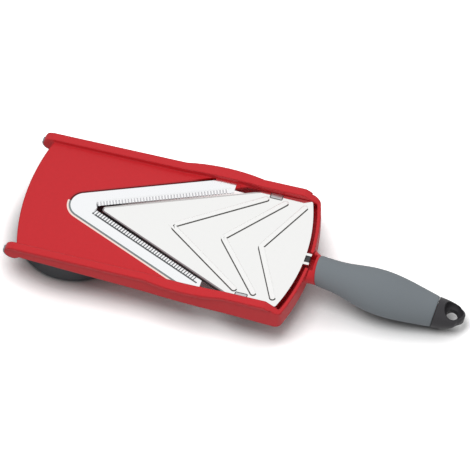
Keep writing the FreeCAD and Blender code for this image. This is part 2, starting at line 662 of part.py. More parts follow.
def obround(sketch, radius, travel="0"):
    """The inclined tongue's outline, drawn out along its travel, in a side view."""
    step_x = "plate_back / %s" % TRAVEL
    step_z = "plate_travel / %s" % TRAVEL
    start = ("(lug_place - tongue_span / 2 * %s)" % step_x,
             "(deck_height - tongue_drop + tongue_span / 2 * %s)" % step_z)
    end = ("(%s + (tongue_span + %s) * %s)" % (start[0], travel, step_x),
           "(%s - (tongue_span + %s) * %s)" % (start[1], travel, step_z))
    along = ("(%s) * %s" % (radius, step_x), "(%s) * %s" % (radius, step_z))
    corners = [
        ("%s + %s" % (start[0], along[1]), "%s + %s" % (start[1], along[0])),
        ("%s + %s" % (end[0], along[1]), "%s + %s" % (end[1], along[0])),
        ("%s + %s" % (end[0], along[0]), "%s - %s" % (end[1], along[1])),
        ("%s - %s" % (end[0], along[1]), "%s - %s" % (end[1], along[0])),
        ("%s - %s" % (start[0], along[1]), "%s - %s" % (start[1], along[0])),
        ("%s - %s" % (start[0], along[0]), "%s + %s" % (start[1], along[1])),
    ]
    bend = (radius, -1)
    return outline(sketch, corners, {1: bend, 2: bend, 4: bend, 5: bend})


def core(name, radius, start, end):
    """A round bar on the handle's axis between two distances behind the grip's front."""
    bar = part("Cylinder", name, Radius=radius, Height="(%s) - (%s)" % (end, start))
    bar.Placement = Placement(Vector(), Rotation(Vector(0, 1, 0), 90 + sheet.grip_fall))
    bar.setExpression("Placement.Rotation.Angle", cell("(90 + grip_fall) * 1 deg"))
    return at(bar, "%s + (%s) * cos(grip_fall)" % (NECK, start), "0",
              "neck_height - (%s) * sin(grip_fall)" % start)


def grip():
    """Soft grey grip moulded over the frame's core."""
    stations = [("0", "neck"), ("grip_length", "heel")]
    stations[1:1] = [("%s_place" % name, name) for name in ("waist", "shoulder", "belly", "palm", "taper")]
    skin = loft("grip_skin", [
        oval("grip_oval_%s" % name, place, "%s_half" % name, "%s_deep" % name, "0",
             "neck_rake" if name == "neck" else "0")
        for place, name in stations])
    along_handle(skin)
    return cut("grip", skin, core("grip_bore", "tang_radius", "-neck_half", "grip_length + 1"))


def end_cap():
    """Dark cap with the hanging hole."""
    start = "grip_length + cap_gap"
    stations = (("0", "heel_half", "heel_deep", "0"),
                ("0.38", "heel_half - 0.7", "heel_deep - 2.3", "0.24"),
                ("0.72", "heel_half - 3.1", "heel_deep - 6.1", "0.65"),
                ("1", "cap_tip_half", "cap_tip_deep", "1"))
    skin = loft("cap_skin", [
        oval("cap_oval_%d" % number, "%s + %s * cap_length" % (start, share), width, depth,
             "%s * cap_lift" % lift)
        for number, (share, width, depth, lift) in enumerate(stations)])
    along_handle(skin)
    doc.recompute()
    tip = max(range(len(skin.Shape.Edges)), key=lambda number: skin.Shape.Edges[number].CenterOfMass.x)
    smooth = doc.addObject("Part::Fillet", "cap_smooth")
    smooth.Base = skin
    smooth.Edges = [(tip + 1, sheet.cap_round, sheet.cap_round)]
    socket = core("cap_socket", "tang_radius", "grip_length - 1", "grip_length + tang_over + seat_gap")
    spot = "(%s + hang_place)" % start
    middle = "0.4 * cap_lift"
    hole = across_handle(part("Cylinder", "hang_hole", Radius="hang_radius", Height="4 * heel_deep"), spot,
                         "%s - 2 * heel_deep" % middle)
    rise = "(dish_web / 2 + dish_ball)"
    dishes = [across_handle(part("Sphere", "dish_%s" % name, Radius="dish_ball"), spot,
                            "%s + %s * %s" % (middle, sign, rise))
              for sign, name in (("1", "upper"), ("-1", "lower"))]
    return cut("end_cap", smooth, fuse("cap_hollows", [socket, hole] + dishes))


def across_handle(item, along, rise):
    """Place a piece upright across the handle's axis, by a distance behind the grip's front and a rise."""
    at(item, "%s + %s * cos(grip_fall) + (%s) * sin(grip_fall)" % (NECK, along, rise), "0",
       "neck_height - %s * sin(grip_fall) + (%s) * cos(grip_fall)" % (along, rise), HANDLE_TURN)
    item.setExpression("Placement.Rotation.Angle", cell("grip_fall * 1 deg"))
    return item


def front_foot(name, side):
    """Soft grey foot wrapped round the lower front of a rail tip."""
    turn = Rotation(Vector(1, 0, 0), 90)
    inset = "(rail_width - lip_over - foot_width) / 2"
    back = "%s + %s + foot_width" % (TIP_INNER, inset) if side > 0 else "-(%s + %s)" % (TIP_INNER, inset)
    spot = ("-front_reach + lobe_radius", back, "%s - lobe_radius" % TIP_TOP)
    outer = part("Cylinder", "%s_outer" % name, Radius="lobe_radius + foot_thick", Height="foot_width",
                 Angle="foot_sweep")
    at(outer, *spot, turn=turn * Rotation(Vector(0, 0, 1), 170))
    inner = part("Cylinder", "%s_inner" % name, Radius="lobe_radius", Height="foot_width")
    at(inner, *spot, turn=turn)
    return cut(name, outer, inner)


def plate_plan(sketch, inset):
    """The slicing plate's outline with its round point, drawn in by an inset."""
    lead = "%s + (%s) * %s" % (PLATE_LEAD, inset, ACROSS)
    nose = "(plate_nose - (%s))" % inset
    slant = "sqrt(1 + v_slope^2)"
    half = [("%s + %s / (v_slope * %s)" % (lead, nose, slant), "%s / %s" % (nose, slant)),
            (v_line(lead, "plate_half - (%s)" % inset), "plate_half - (%s)" % inset),
            ("%s - (%s)" % (PLATE_REAR, inset), "plate_corner_half - (%s)" % inset)]
    rear = bow_radius("plate_corner_half - (%s)" % inset, "plate_bow")
    return outline(sketch, both_sides(half), {2: (rear, -1), 5: (nose, -1)})


def lug_notch(sketch, gap):
    """Two notches in the plate's sides for the guide lugs."""
    for sign in ("1", "-1"):
        near = "%s * (lug_half - lug_bite - (%s))" % (sign, gap)
        far = "%s * (lug_half + lug_bite)" % sign
        front = "lug_place - lug_length / 2 - (%s)" % gap
        rear = "lug_place + lug_length / 2 + (%s)" % gap
        outline(sketch, [(front, near), (rear, near), (rear, far), (front, far)])
    return sketch


def rib_plan(sketch, point, tail):
    """A pressed rib in the shape of a V with round ends."""
    run = "(%s - %s)" % (tail, point)
    length = "sqrt(%s^2 + rib_half^2)" % run
    along_x = "rib_width / 2 * %s / %s" % (run, length)
    along_y = "rib_width / 2 * rib_half / %s" % length
    start = "rib_width / 2 * %s / rib_half" % length
    arm = [("%s - %s" % (tail, along_y), "rib_half + %s" % along_x),
           ("%s + %s" % (tail, along_x), "rib_half + %s" % along_y),
           ("%s + %s" % (tail, along_y), "rib_half - %s" % along_x)]
    corners = [("%s - %s" % (point, start), "0")] + arm + [("%s + %s" % (point, start), "0")]
    corners += [(x, "-(%s)" % y) for x, y in reversed(arm)]
    bend = ("rib_width / 2", -1)
    return outline(sketch, corners, {1: bend, 2: bend, 5: bend, 6: bend})


def slicing_plate():
    """Polished tray with a turned-down edge, three pressed ribs and two rear prongs."""
    body = new_body("slicing_plate")
    low = "%s - plate_skirt" % PLATE_TOP
    plan = new_sketch(body, "plate_plan", height=low)
    plate_plan(plan, "0")
    block = pad(body, "plate_block", plan, "plate_skirt")
    corners = [(PLATE_REAR, "plate_corner_half"), (PLATE_REAR, "-plate_corner_half")]
    round_off(body, "plate_corners", block, corners, "plate_round")
    inside = new_sketch(body, "plate_inside", height=low)
    plate_plan(inside, "plate_sheet")
    pocket(body, "plate_hollow", inside, "plate_skirt - plate_sheet", up=True)
    notch = lug_notch(new_sketch(body, "lug_notch_plan", height=PLATE_TOP), "seat_gap")
    pocket(body, "lug_notches", notch, "plate_skirt + 1")
    for name in ("one", "two", "three"):
        rib = new_sketch(body, "rib_%s_plan" % name, height=PLATE_TOP)
        rib_plan(rib, "rib_%s_point" % name, "rib_%s_tail" % name)
        pad(body, "rib_%s" % name, rib, "rib_height")
    prong = new_sketch(body, "prong_plan", height=low)
    root = "%s + plate_bow - plate_sheet * 0.7" % PLATE_REAR
    end = "%s + plate_bow + prong_length" % PLATE_REAR
    for sign in ("1", "-1"):
        near = "%s * (prong_spread - prong_width / 2)" % sign
        far = "%s * (prong_spread + prong_width / 2)" % sign
        outline(prong, [(root, near), (end, near), (end, far), (root, far)])
    pad(body, "prongs", prong, "plate_skirt - prong_drop")
    return body


def plate_carrier():
    """Black carrier under the plate with the leg that the dial drives."""
    body = new_body("plate_carrier")
    top = "%s - plate_sheet" % PLATE_TOP
    low = "%s - carrier_thick" % top
    inset = "plate_sheet + seat_gap"
    plan = new_sketch(body, "carrier_plan", height=low)
    plate_plan(plan, inset)
    pad(body, "carrier_board", plan, "carrier_thick")
    notch = lug_notch(new_sketch(body, "carrier_notch_plan", height=top), "0")
    pocket(body, "carrier_notches", notch, "carrier_thick + 1")
    leg = new_sketch(body, "leg_plan", height="leg_foot")
    outline(leg, both_sides([("leg_front", "leg_width / 2"), ("leg_front + leg_length", "leg_width / 2")]))
    pad(body, "leg", leg, "%s + carrier_thick / 2 - leg_foot" % low)
    spine = new_sketch(body, "spine_plan", height="%s - spine_height" % low)
    outline(spine, both_sides([("leg_front + leg_length / 2", "spine_width / 2"),
                               ("%s + sleeve_wall / 2" % SLEEVE_FRONT, "spine_width / 2")]))
    pad(body, "spine", spine, "spine_height + carrier_thick / 2")
    sleeve = new_sketch(body, "sleeve_plan", height="%s - spine_height" % low)
    sleeve_half = "(catch_width / 2 + slide_gap + sleeve_wall)"
    outline(sleeve, both_sides([(SLEEVE_FRONT, sleeve_half),
                                ("%s + sleeve_length" % SLEEVE_FRONT, sleeve_half)]))
    pad(body, "sleeve", sleeve, "spine_height + carrier_thick / 2")
    way = new_sketch(body, "catch_way_profile", "YZ_Plane", "%s + sleeve_length + 1" % SLEEVE_FRONT)
    way_half = "(catch_width / 2 + slide_gap)"
    way_top = "%s + slide_gap" % CATCH_TOP
    way_low = "%s - catch_thick - slide_gap" % CATCH_TOP
    outline(way, [("-%s" % way_half, way_low), (way_half, way_low), (way_half, way_top),
                  ("-%s" % way_half, way_top)])
    pocket(body, "catch_way", way, "sleeve_length + 2 - sleeve_wall")
    pin = ring(new_sketch(body, "pin_bore_plan", height="leg_foot"), "pin_radius", "scroll_start")
    pocket(body, "pin_bore", pin, "pin_sink", up=True)
    return body


def guide_lug(name, side):
    """Bright lug let into the plate's side, with a tongue that runs in the frame's slot."""
    sign = str(side)
    body = new_body(name)
    low = "%s - lug_depth" % PLATE_TOP
    front = "lug_place - lug_length / 2"
    rear = "lug_place + lug_length / 2"
    far = "%s * lug_half" % sign
    near = "%s * (lug_half - lug_bite)" % sign
    block = new_sketch(body, "%s_plan" % name, height=low)
    outline(block, [(front, near), (rear, near), (rear, far), (front, far)])
    pad(body, "%s_block" % name, block, "lug_depth")
    foot = new_sketch(body, "%s_foot_plan" % name, height=low)
    toe = "%s * (lug_half - lug_foot)" % sign
    outline(foot, [(front, toe), (rear, toe), (rear, far), (front, far)])
    pad(body, "%s_foot" % name, foot, "lug_depth - plate_sheet - carrier_thick")
    tongue = new_sketch(body, "%s_tongue_profile" % name, "XZ_Plane", "-(%s)" % far)
    obround(tongue, "tongue_width / 2")
    pad(body, "%s_tongue" % name, tongue, "lug_air + tongue_reach", down=side > 0)
    return body


def drive_pin():
    """Steel pin from the carrier's leg down into the dial's scroll."""
    bar = part("Cylinder", "drive_pin", Radius="pin_radius", Height="leg_foot + pin_sink - pin_tip")
    return at(bar, "scroll_start", "0", "pin_tip")


def plate_catch():
    """Black slide that hooks up between the plate's two prongs."""
    low = "%s - catch_thick" % CATCH_TOP
    nose_front = "%s + plate_bow + seat_gap * 2" % PLATE_REAR
    slide_front = "(%s - catch_set)" % PLATE_REAR
    slide = part("Box", "catch_slide", Length="%s + catch_nose - %s" % (nose_front, slide_front),
                 Width="catch_width", Height="catch_thick")
    at(slide, slide_front, "-catch_width / 2", low)
    nose = part("Box", "catch_hook", Length="catch_nose", Width="catch_width", Height="catch_rise")
    at(nose, nose_front, "-catch_width / 2", low)
    return fuse("plate_catch", [slide, nose])


def spun(name, corners, arcs=None):
    """A body turned about the dial's axis from half of its section."""
    body = new_body(name)
    half = outline(new_sketch(body, "%s_section" % name, "XZ_Plane"), corners, arcs)
    turned = body.newObject("PartDesign::Revolution", "%s_turned" % name)
    turned.Profile = half
    turned.ReferenceAxis = (half, ["V_Axis"])
    turned.Angle = 360
    return body


def scroll_tool():
    """Spiral channel whose radius grows by the plate's shift to the rear over the dial's turn."""
    wide = sheet.pin_radius + 2 * sheet.slide_gap
    turn = math.radians(sheet.dial_turn)

    def spot(share, side):
        radius = sheet.scroll_start + sheet.plate_back * share + side * wide
        return Vector(radius * math.cos(turn * share), -radius * math.sin(turn * share), 0)

    def flank(side):
        steps = 6
        return [Part.Arc(spot(k / steps, side), spot((k + 0.5) / steps, side),
                         spot((k + 1) / steps, side)).toShape() for k in range(steps)]

    def end(share, way):
        one, two = spot(share, -1), spot(share, 1)
        across = (two - one).normalize()
        beyond = Vector(across.y, -across.x, 0) * way * wide
        return Part.Arc(one, (one + two) * 0.5 + beyond, two).toShape()

    wire = Part.Wire(Part.__sortEdges__(flank(1) + flank(-1) + [end(0, -1), end(1, 1)]))
    tool = doc.addObject("Part::Feature", "scroll")
    tool.Shape = Part.Face(wire).extrude(Vector(0, 0, sheet.scroll_depth + 1))
    return at(tool, z="dial_top - scroll_depth")


def dial_knob():
    """Dark thickness dial with its scroll, the ball's track and the click places."""
    blank = spun("dial_blank", [
        ("bush_radius", "hub_floor"), ("hub_recess", "hub_floor"), ("hub_recess", "pad_thick"),
        ("dial_base", "pad_thick"), ("dial_radius", "dial_belly"), ("dial_rim", "dial_top - dial_edge"),
        ("dial_rim - dial_edge", "dial_top"), ("detent_place + ball_radius", "dial_top"),
        ("detent_place + ball_radius", "dial_top - track_depth - slide_gap"),
        ("detent_place - ball_radius", "dial_top - track_depth - slide_gap"),
        ("detent_place - ball_radius", "dial_top"), ("bush_radius", "dial_top")],
        {3: ("dial_low_round", 1), 4: ("dial_side_round", 1)})
    tools = [scroll_tool()]
    for number in range(int(sheet.click_count)):
        angle = "(180 - %d * dial_turn / (click_count - 1))" % number
        pit = part("Cylinder", "click_%d" % number, Height="ball_radius", Radius="ball_radius - 2 * slide_gap")
        tools.append(at(pit, "detent_place * cos(%s)" % angle, "detent_place * sin(%s)" % angle,
                        "dial_top - track_depth - 4 * slide_gap"))
    return cut("dial_knob", blank, fuse("dial_hollows", tools))


def dial_pieces():
    """The dial's pad, bush, screw, washer and insert, and the click stop."""
    seat = "dial_top + dial_air"
    under = "hub_floor - washer_thick"
    head = "%s - head_thick" % under
    bore = "axle_radius + axle_fit"
    pad_disc = part("Cylinder", "dial_foot_pad", Radius="pad_radius", Height="pad_thick")
    bush = spun("dial_bush", [(bore, "hub_floor"), ("bush_radius", "hub_floor"), ("bush_radius", "dial_top"),
                              (bore, "dial_top")])
    washer = spun("dial_washer", [(bore, under), ("washer_radius", under), ("washer_radius", "hub_floor"),
                                  (bore, "hub_floor")])
    axle = spun("dial_axle", [
        ("0", head), ("head_radius", head), ("head_radius", under), ("axle_radius", under),
        ("axle_radius", seat), ("thread_radius", seat),
        ("thread_radius", "%s + thread_length" % seat), ("0", "%s + thread_length" % seat)])
    insert = spun("axle_insert", [("thread_radius", seat), ("insert_radius", seat),
                                  ("insert_radius", "%s + thread_length + 1" % seat),
                                  ("thread_radius", "%s + thread_length + 1" % seat)])
    level = "dial_top + ball_radius - track_depth"
    sleeve = at(part("Cylinder", "detent_sleeve", Radius="detent_radius", Height="detent_length"),
                "-detent_place", "0", "%s + slide_gap" % seat)
    socket = at(part("Sphere", "detent_socket", Radius="ball_radius"), "-detent_place", "0", level)
    ball = at(part("Sphere", "detent_ball", Radius="ball_radius"), "-detent_place", "0", level)
    return [pad_disc, bush, washer, axle, insert, cut("detent_plunger", sleeve, socket), ball]


def v_plan(sketch, lead, nose):
    """A V outline with a round point, past the ends of the blade arms."""
    slant = "sqrt(1 + v_slope^2)"
    tail = "arm_tail + blade_width"
    half = [("%s + %s / (v_slope * %s)" % (lead, nose, slant), "%s / %s" % (nose, slant)),
            (tail, "v_slope * (%s - (%s))" % (tail, lead))]
    return outline(sketch, both_sides(half), {3: (nose, -1)})


def v_blade():
    """V-shaped blade: a wide ground bevel with fine flutes that scallop both edges."""
    body = new_body("blade_blank")
    low = "%s - blade_thick" % PLATE_TOP
    inner_end = "v_slope * (arm_tail - (%s))" % BLADE_EDGE
    arm = [(v_line("-blade_lead", "arm_half"), "arm_half"), ("arm_tail", "arm_half"),
           ("arm_tail", inner_end)]
    plan = new_sketch(body, "blade_plan", height=low)
    corners = [("-blade_lead", "0")] + arm + [(BLADE_EDGE, "0")]
    outline(plan, corners + [(x, "-(%s)" % y) for x, y in reversed(arm)])
    steel = pad(body, "blade_sheet", plan, "blade_thick")
    nose = round_off(body, "blade_point", steel, [("-blade_lead", "0")], "blade_nose")
    round_off(body, "edge_point", nose, [(BLADE_EDGE, "0")], "edge_nose")
    for sign, name in ((1, "right"), (-1, "left")):
        line = new_sketch(body, "edge_%s_line" % name, height=PLATE_TOP)
        line.AttachmentOffset = Placement(Vector(), Rotation(Vector(0, 0, 1), sign * V_ANGLE))
        line.setExpression("AttachmentOffset.Rotation.Angle", cell("%d * atan(v_slope)" % sign))
        flute = body.newObject("PartDesign::SubtractiveCylinder", "flute_%s" % name)
        bind(flute, Radius="tooth_radius", Height="bevel_width + 2 * tooth_depth")
        flute.AttachmentSupport = [(plane(body, "XY_Plane"), "")]
        flute.MapMode = "FlatFace"
        # The flute starts level at the bevel's back line and falls towards the edge
        fall = math.degrees(math.atan2(sheet.tooth_depth, sheet.bevel_width))
        turn = Rotation(Vector(0, 0, 1), sign * V_ANGLE) * Rotation(Vector(1, 0, 0), sign * (90 + fall))
        flute.AttachmentOffset = Placement(Vector(), turn)
        back = "%s - bevel_width * %s" % (BLADE_EDGE, ACROSS)
        run = "(bevel_width / v_slope + tooth_start) / sqrt(1 + v_slope^2)"
        for axis, text in (("x", "%s + %s" % (back, run)), ("y", "%d * v_slope * %s" % (sign, run)),
                           ("z", "%s + tooth_radius" % PLATE_TOP)):
            flute.setExpression("AttachmentOffset.Base.%s" % axis, cell(text))
        doc.recompute()
        row = body.newObject("PartDesign::LinearPattern", "flutes_%s" % name)
        row.Originals = [flute]
        row.Direction = (line, ["H_Axis"])
        bind(row, Length="tooth_pitch * (tooth_count - 1)", Occurrences="tooth_count")
        body.Tip = row
    tops = doc.addObject("PartDesign::Body", "bevel_lines")
    upper = v_plan(new_sketch(tops, "bevel_back_line", height=PLATE_TOP),
                   "%s - bevel_width * %s" % (BLADE_EDGE, ACROSS), "bevel_nose")
    lower = v_plan(new_sketch(tops, "bevel_edge_line", height="%s - bevel_depth" % PLATE_TOP),
                   BLADE_EDGE, "edge_nose")
    bevel = doc.addObject("Part::Loft", "bevel")
    bevel.Sections = [upper, lower]
    bevel.Solid = True
    bevel.Ruled = True
    return cut("v_blade", body, bevel)


CATCH_TOP = "(%s - plate_skirt - 2 * slide_gap)" % PLATE_TOP


def blade_studs():
    """Four studs that hold the blade."""
    top = "%s - blade_thick" % PLATE_TOP
    pins = []
    for number, (x, y) in enumerate(stud_places()):
        pin = part("Cylinder", "stud_%d" % number, Radius="stud_radius", Height="stud_length")
        pins.append(at(pin, x, y, "%s - stud_length" % top))
    return group("blade_studs", pins)


def blade_nuts():
    """Four nuts on the studs under the deck."""
    nuts = []
    for number, (x, y) in enumerate(stud_places()):
        level = "deck_height - deck_thick - nut_thick"
        blank = doc.addObject("Part::Prism", "nut_%d_blank" % number)
        blank.Polygon = 6
        bind(blank, Circumradius="nut_radius", Height="nut_thick")
        at(blank, x, y, level)
        hole = part("Cylinder", "nut_%d_hole" % number, Radius="stud_radius", Height="nut_thick")
        nuts.append(cut("nut_%d" % number, blank, at(hole, x, y, level)))
    return group("blade_nuts", nuts)


def build():
    """Every piece, in the order of its assembly."""
    held = [frame(), grip(), end_cap(), front_foot("front_foot_left", -1), front_foot("front_foot_right", 1),
            v_blade(), blade_studs(), blade_nuts()]
    plate = [slicing_plate(), plate_carrier(), guide_lug("guide_lug_left", -1),
             guide_lug("guide_lug_right", 1), drive_pin(), plate_catch()]
    return held + plate + [dial_knob()] + dial_pieces()


pieces = build()
doc.recompute()
for item in doc.Objects:
    if "Invalid" in item.State or "Error" in item.State:
        raise ValueError("%s: %s" % (item.Name, item.getStatusString()))
os.makedirs("parts", exist_ok=True)
for item in pieces:
    if item.Shape.isNull() or not item.Shape.isValid():
        raise ValueError("%s has no valid shape" % item.Name)
    item.Label = item.Name
    item.Shape.exportStep("parts/%s.step" % item.Label)
    box = item.Shape.BoundBox
    print("%-18s %d solids %10.1f mm3  x %.2f %.2f  y %.2f %.2f  z %.2f %.2f" % (
        item.Label, len(item.Shape.Solids), item.Shape.Volume,
        box.XMin, box.XMax, box.YMin, box.YMax, box.ZMin, box.ZMax))
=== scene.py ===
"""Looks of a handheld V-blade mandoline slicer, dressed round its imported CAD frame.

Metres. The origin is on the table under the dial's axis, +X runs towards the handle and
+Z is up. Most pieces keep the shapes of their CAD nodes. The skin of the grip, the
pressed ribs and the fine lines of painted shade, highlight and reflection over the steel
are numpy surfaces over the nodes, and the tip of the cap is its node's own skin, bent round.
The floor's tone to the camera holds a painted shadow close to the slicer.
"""

import json
import logging
import math
from dataclasses import dataclass
from enum import Enum

import bmesh
import bpy
import numpy as np
from mathutils import Matrix, Vector


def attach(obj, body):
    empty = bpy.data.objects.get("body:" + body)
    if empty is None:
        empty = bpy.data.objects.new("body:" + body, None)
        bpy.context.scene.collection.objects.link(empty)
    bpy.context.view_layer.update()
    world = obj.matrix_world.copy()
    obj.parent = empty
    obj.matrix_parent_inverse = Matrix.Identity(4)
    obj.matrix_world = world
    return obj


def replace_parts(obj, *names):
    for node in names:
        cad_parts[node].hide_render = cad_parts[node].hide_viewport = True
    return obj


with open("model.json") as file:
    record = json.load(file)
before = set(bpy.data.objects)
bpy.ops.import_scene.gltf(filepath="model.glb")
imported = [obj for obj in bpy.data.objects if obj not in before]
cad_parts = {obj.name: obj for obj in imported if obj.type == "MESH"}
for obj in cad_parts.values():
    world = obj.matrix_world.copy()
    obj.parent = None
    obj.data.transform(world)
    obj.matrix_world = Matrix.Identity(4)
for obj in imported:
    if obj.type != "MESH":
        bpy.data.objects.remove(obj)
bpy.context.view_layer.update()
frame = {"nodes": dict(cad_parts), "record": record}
LOG = logging.getLogger("slicer")
MM = 0.001  # metres in a millimetre
MERGE = 1e-6  # points closer than this become one, in metres
SHARP = 32.0  # edges sharper than this stay sharp, in degrees
STEEL_TOP = 50.6  # top of the blade and the plate above the table, in millimetres
GRAIN_DETAIL = 4.0  # octaves of the grain's noise
FACING_SLACK = -0.02  # walls that turn away by less than this still count as facing
EDGE_SAMPLES = 6  # rays of a softened edge
Colour = tuple[float, float, float]
Section = tuple[tuple[float, float], ...]


class Body(Enum):
    """The moving bodies of the CAD frame."""

    FRAME = "frame"
    DIAL = "dial"
    PLATE = "plate"
    CATCH = "catch"


class Link(Enum):
    """Kinds of value that go through a shader group's sockets."""

    COLOUR = "NodeSocketColor"
    VALUE = "NodeSocketFloat"
    VECTOR = "NodeSocketVector"


# Shader groups that several finishes share

def new_group(name: str, inputs: dict[str, Link], outputs: dict[str, Link]) -> bpy.types.NodeTree:
    """Make an empty shader group with its sockets.

    Args:
        name: Name of the group.
        inputs: Kind of each input socket.
        outputs: Kind of each output socket.

    Returns:
        The group, with an input and an output node in it.
    """
    tree = bpy.data.node_groups.new(name, "ShaderNodeTree")
    for way, sockets in (("INPUT", inputs), ("OUTPUT", outputs)):
        for label, kind in sockets.items():
            tree.interface.new_socket(label, in_out=way, socket_type=kind.value)
    tree.nodes.new("NodeGroupInput").name = "in"
    tree.nodes.new("NodeGroupOutput").name = "out"
    return tree


def join(tree: bpy.types.NodeTree,
         *pairs: tuple[bpy.types.NodeSocket, bpy.types.NodeSocket]) -> None:
    """Link pairs of sockets.

    Args:
        tree: The node tree that holds them.
        pairs: An output and the input it goes to, for each link.
    """
    for source, target in pairs:
        tree.links.new(source, target)


def add_math(tree: bpy.types.NodeTree, operation: str, *values: float) -> bpy.types.Node:
    """Add a Math node with its plain values set.

    Args:
        tree: The node tree it goes into.
        operation: What the node works out.
        values: Plain values of its inputs, in order.

    Returns:
        The new node.
    """
    node = tree.nodes.new("ShaderNodeMath")
    node.operation = operation
    for index, value in enumerate(values):
        node.inputs[index].default_value = value
    return node


def grain_group() -> bpy.types.NodeTree:
    """Grain of a moulded or ground surface.

    Noise on Object coordinates, stretched along one direction by the Stretch vector, moves the
    colour and the roughness by a small share about their plain values and gives a bump height.

    Returns:
        The group, with Colour, Roughness and Height outputs.
    """
    tree = new_group(
        "surface_grain",
        {"Colour": Link.COLOUR, "Roughness": Link.VALUE, "Scale": Link.VALUE,
         "Stretch": Link.VECTOR, "Shade": Link.VALUE, "Sheen": Link.VALUE},
        {"Colour": Link.COLOUR, "Roughness": Link.VALUE, "Height": Link.VALUE})
    given, out = tree.nodes["in"], tree.nodes["out"]
    place = tree.nodes.new("ShaderNodeTexCoord")
    stretch = tree.nodes.new("ShaderNodeVectorMath")
    stretch.operation = "MULTIPLY"
    noise = tree.nodes.new("ShaderNodeTexNoise")
    noise.inputs["Detail"].default_value = GRAIN_DETAIL
    middle = add_math(tree, "SUBTRACT", 0.0, 0.5)
    shade = add_math(tree, "MULTIPLY_ADD", 0.0, 0.0, 1.0)
    sheen = add_math(tree, "MULTIPLY_ADD", 0.0, 0.0, 0.0)
    tint = tree.nodes.new("ShaderNodeVectorMath")
    tint.operation = "SCALE"
    join(tree, (place.outputs["Object"], stretch.inputs[0]),
         (given.outputs["Stretch"], stretch.inputs[1]),
         (stretch.outputs[0], noise.inputs["Vector"]),
         (given.outputs["Scale"], noise.inputs["Scale"]),
         (noise.outputs["Fac"], middle.inputs[0]), (middle.outputs[0], shade.inputs[0]),
         (given.outputs["Shade"], shade.inputs[1]), (given.outputs["Colour"], tint.inputs[0]),
         (shade.outputs[0], tint.inputs["Scale"]), (tint.outputs[0], out.inputs["Colour"]),
         (middle.outputs[0], sheen.inputs[0]), (given.outputs["Sheen"], sheen.inputs[1]),
         (given.outputs["Roughness"], sheen.inputs[2]), (sheen.outputs[0], out.inputs["Roughness"]),
         (noise.outputs["Fac"], out.inputs["Height"]))
    return tree


def painted_shading_group() -> bpy.types.NodeTree:
    """Painted shade and highlight on the walls of a pressed or ground sheet.

    The Wall colour is painted where the height of the piece's own normal is under Level, and where
    its Y times Facing isn't negative. Facing is -1 or +1 for walls that look to one side, and 0
    for all. The Wall colour stands for the shade, highlight or reflection that those walls show.

    Returns:
        The group, with a Colour output.
    """
    tree = new_group(
        "painted_wall_shading",
        {"Colour": Link.COLOUR, "Wall": Link.COLOUR, "Level": Link.VALUE, "Facing": Link.VALUE},
        {"Colour": Link.COLOUR})
    given, out = tree.nodes["in"], tree.nodes["out"]
    place = tree.nodes.new("ShaderNodeTexCoord")
    parts = tree.nodes.new("ShaderNodeSeparateXYZ")
    flat = add_math(tree, "ABSOLUTE")
    low = add_math(tree, "LESS_THAN")
    turned = add_math(tree, "MULTIPLY")
    toward = add_math(tree, "GREATER_THAN", 0.0, FACING_SLACK)
    mask = add_math(tree, "MULTIPLY")
    mix = tree.nodes.new("ShaderNodeMix")
    mix.data_type = "RGBA"
    join(tree, (place.outputs["Normal"], parts.inputs[0]), (parts.outputs["Z"], flat.inputs[0]),
         (flat.outputs[0], low.inputs[0]), (given.outputs["Level"], low.inputs[1]),
         (parts.outputs["Y"], turned.inputs[0]), (given.outputs["Facing"], turned.inputs[1]),
         (turned.outputs[0], toward.inputs[0]), (low.outputs[0], mask.inputs[0]),
         (toward.outputs[0], mask.inputs[1]),
         (mask.outputs[0], mix.inputs["Factor"]), (given.outputs["Colour"], mix.inputs["A"]),
         (given.outputs["Wall"], mix.inputs["B"]), (mix.outputs["Result"], out.inputs["Colour"]))
    return tree


@dataclass(frozen=True)
class Groups:
    """The shader groups, built once."""

    grain: bpy.types.NodeTree
    walls: bpy.types.NodeTree


GROUPS = Groups(grain_group(), painted_shading_group())


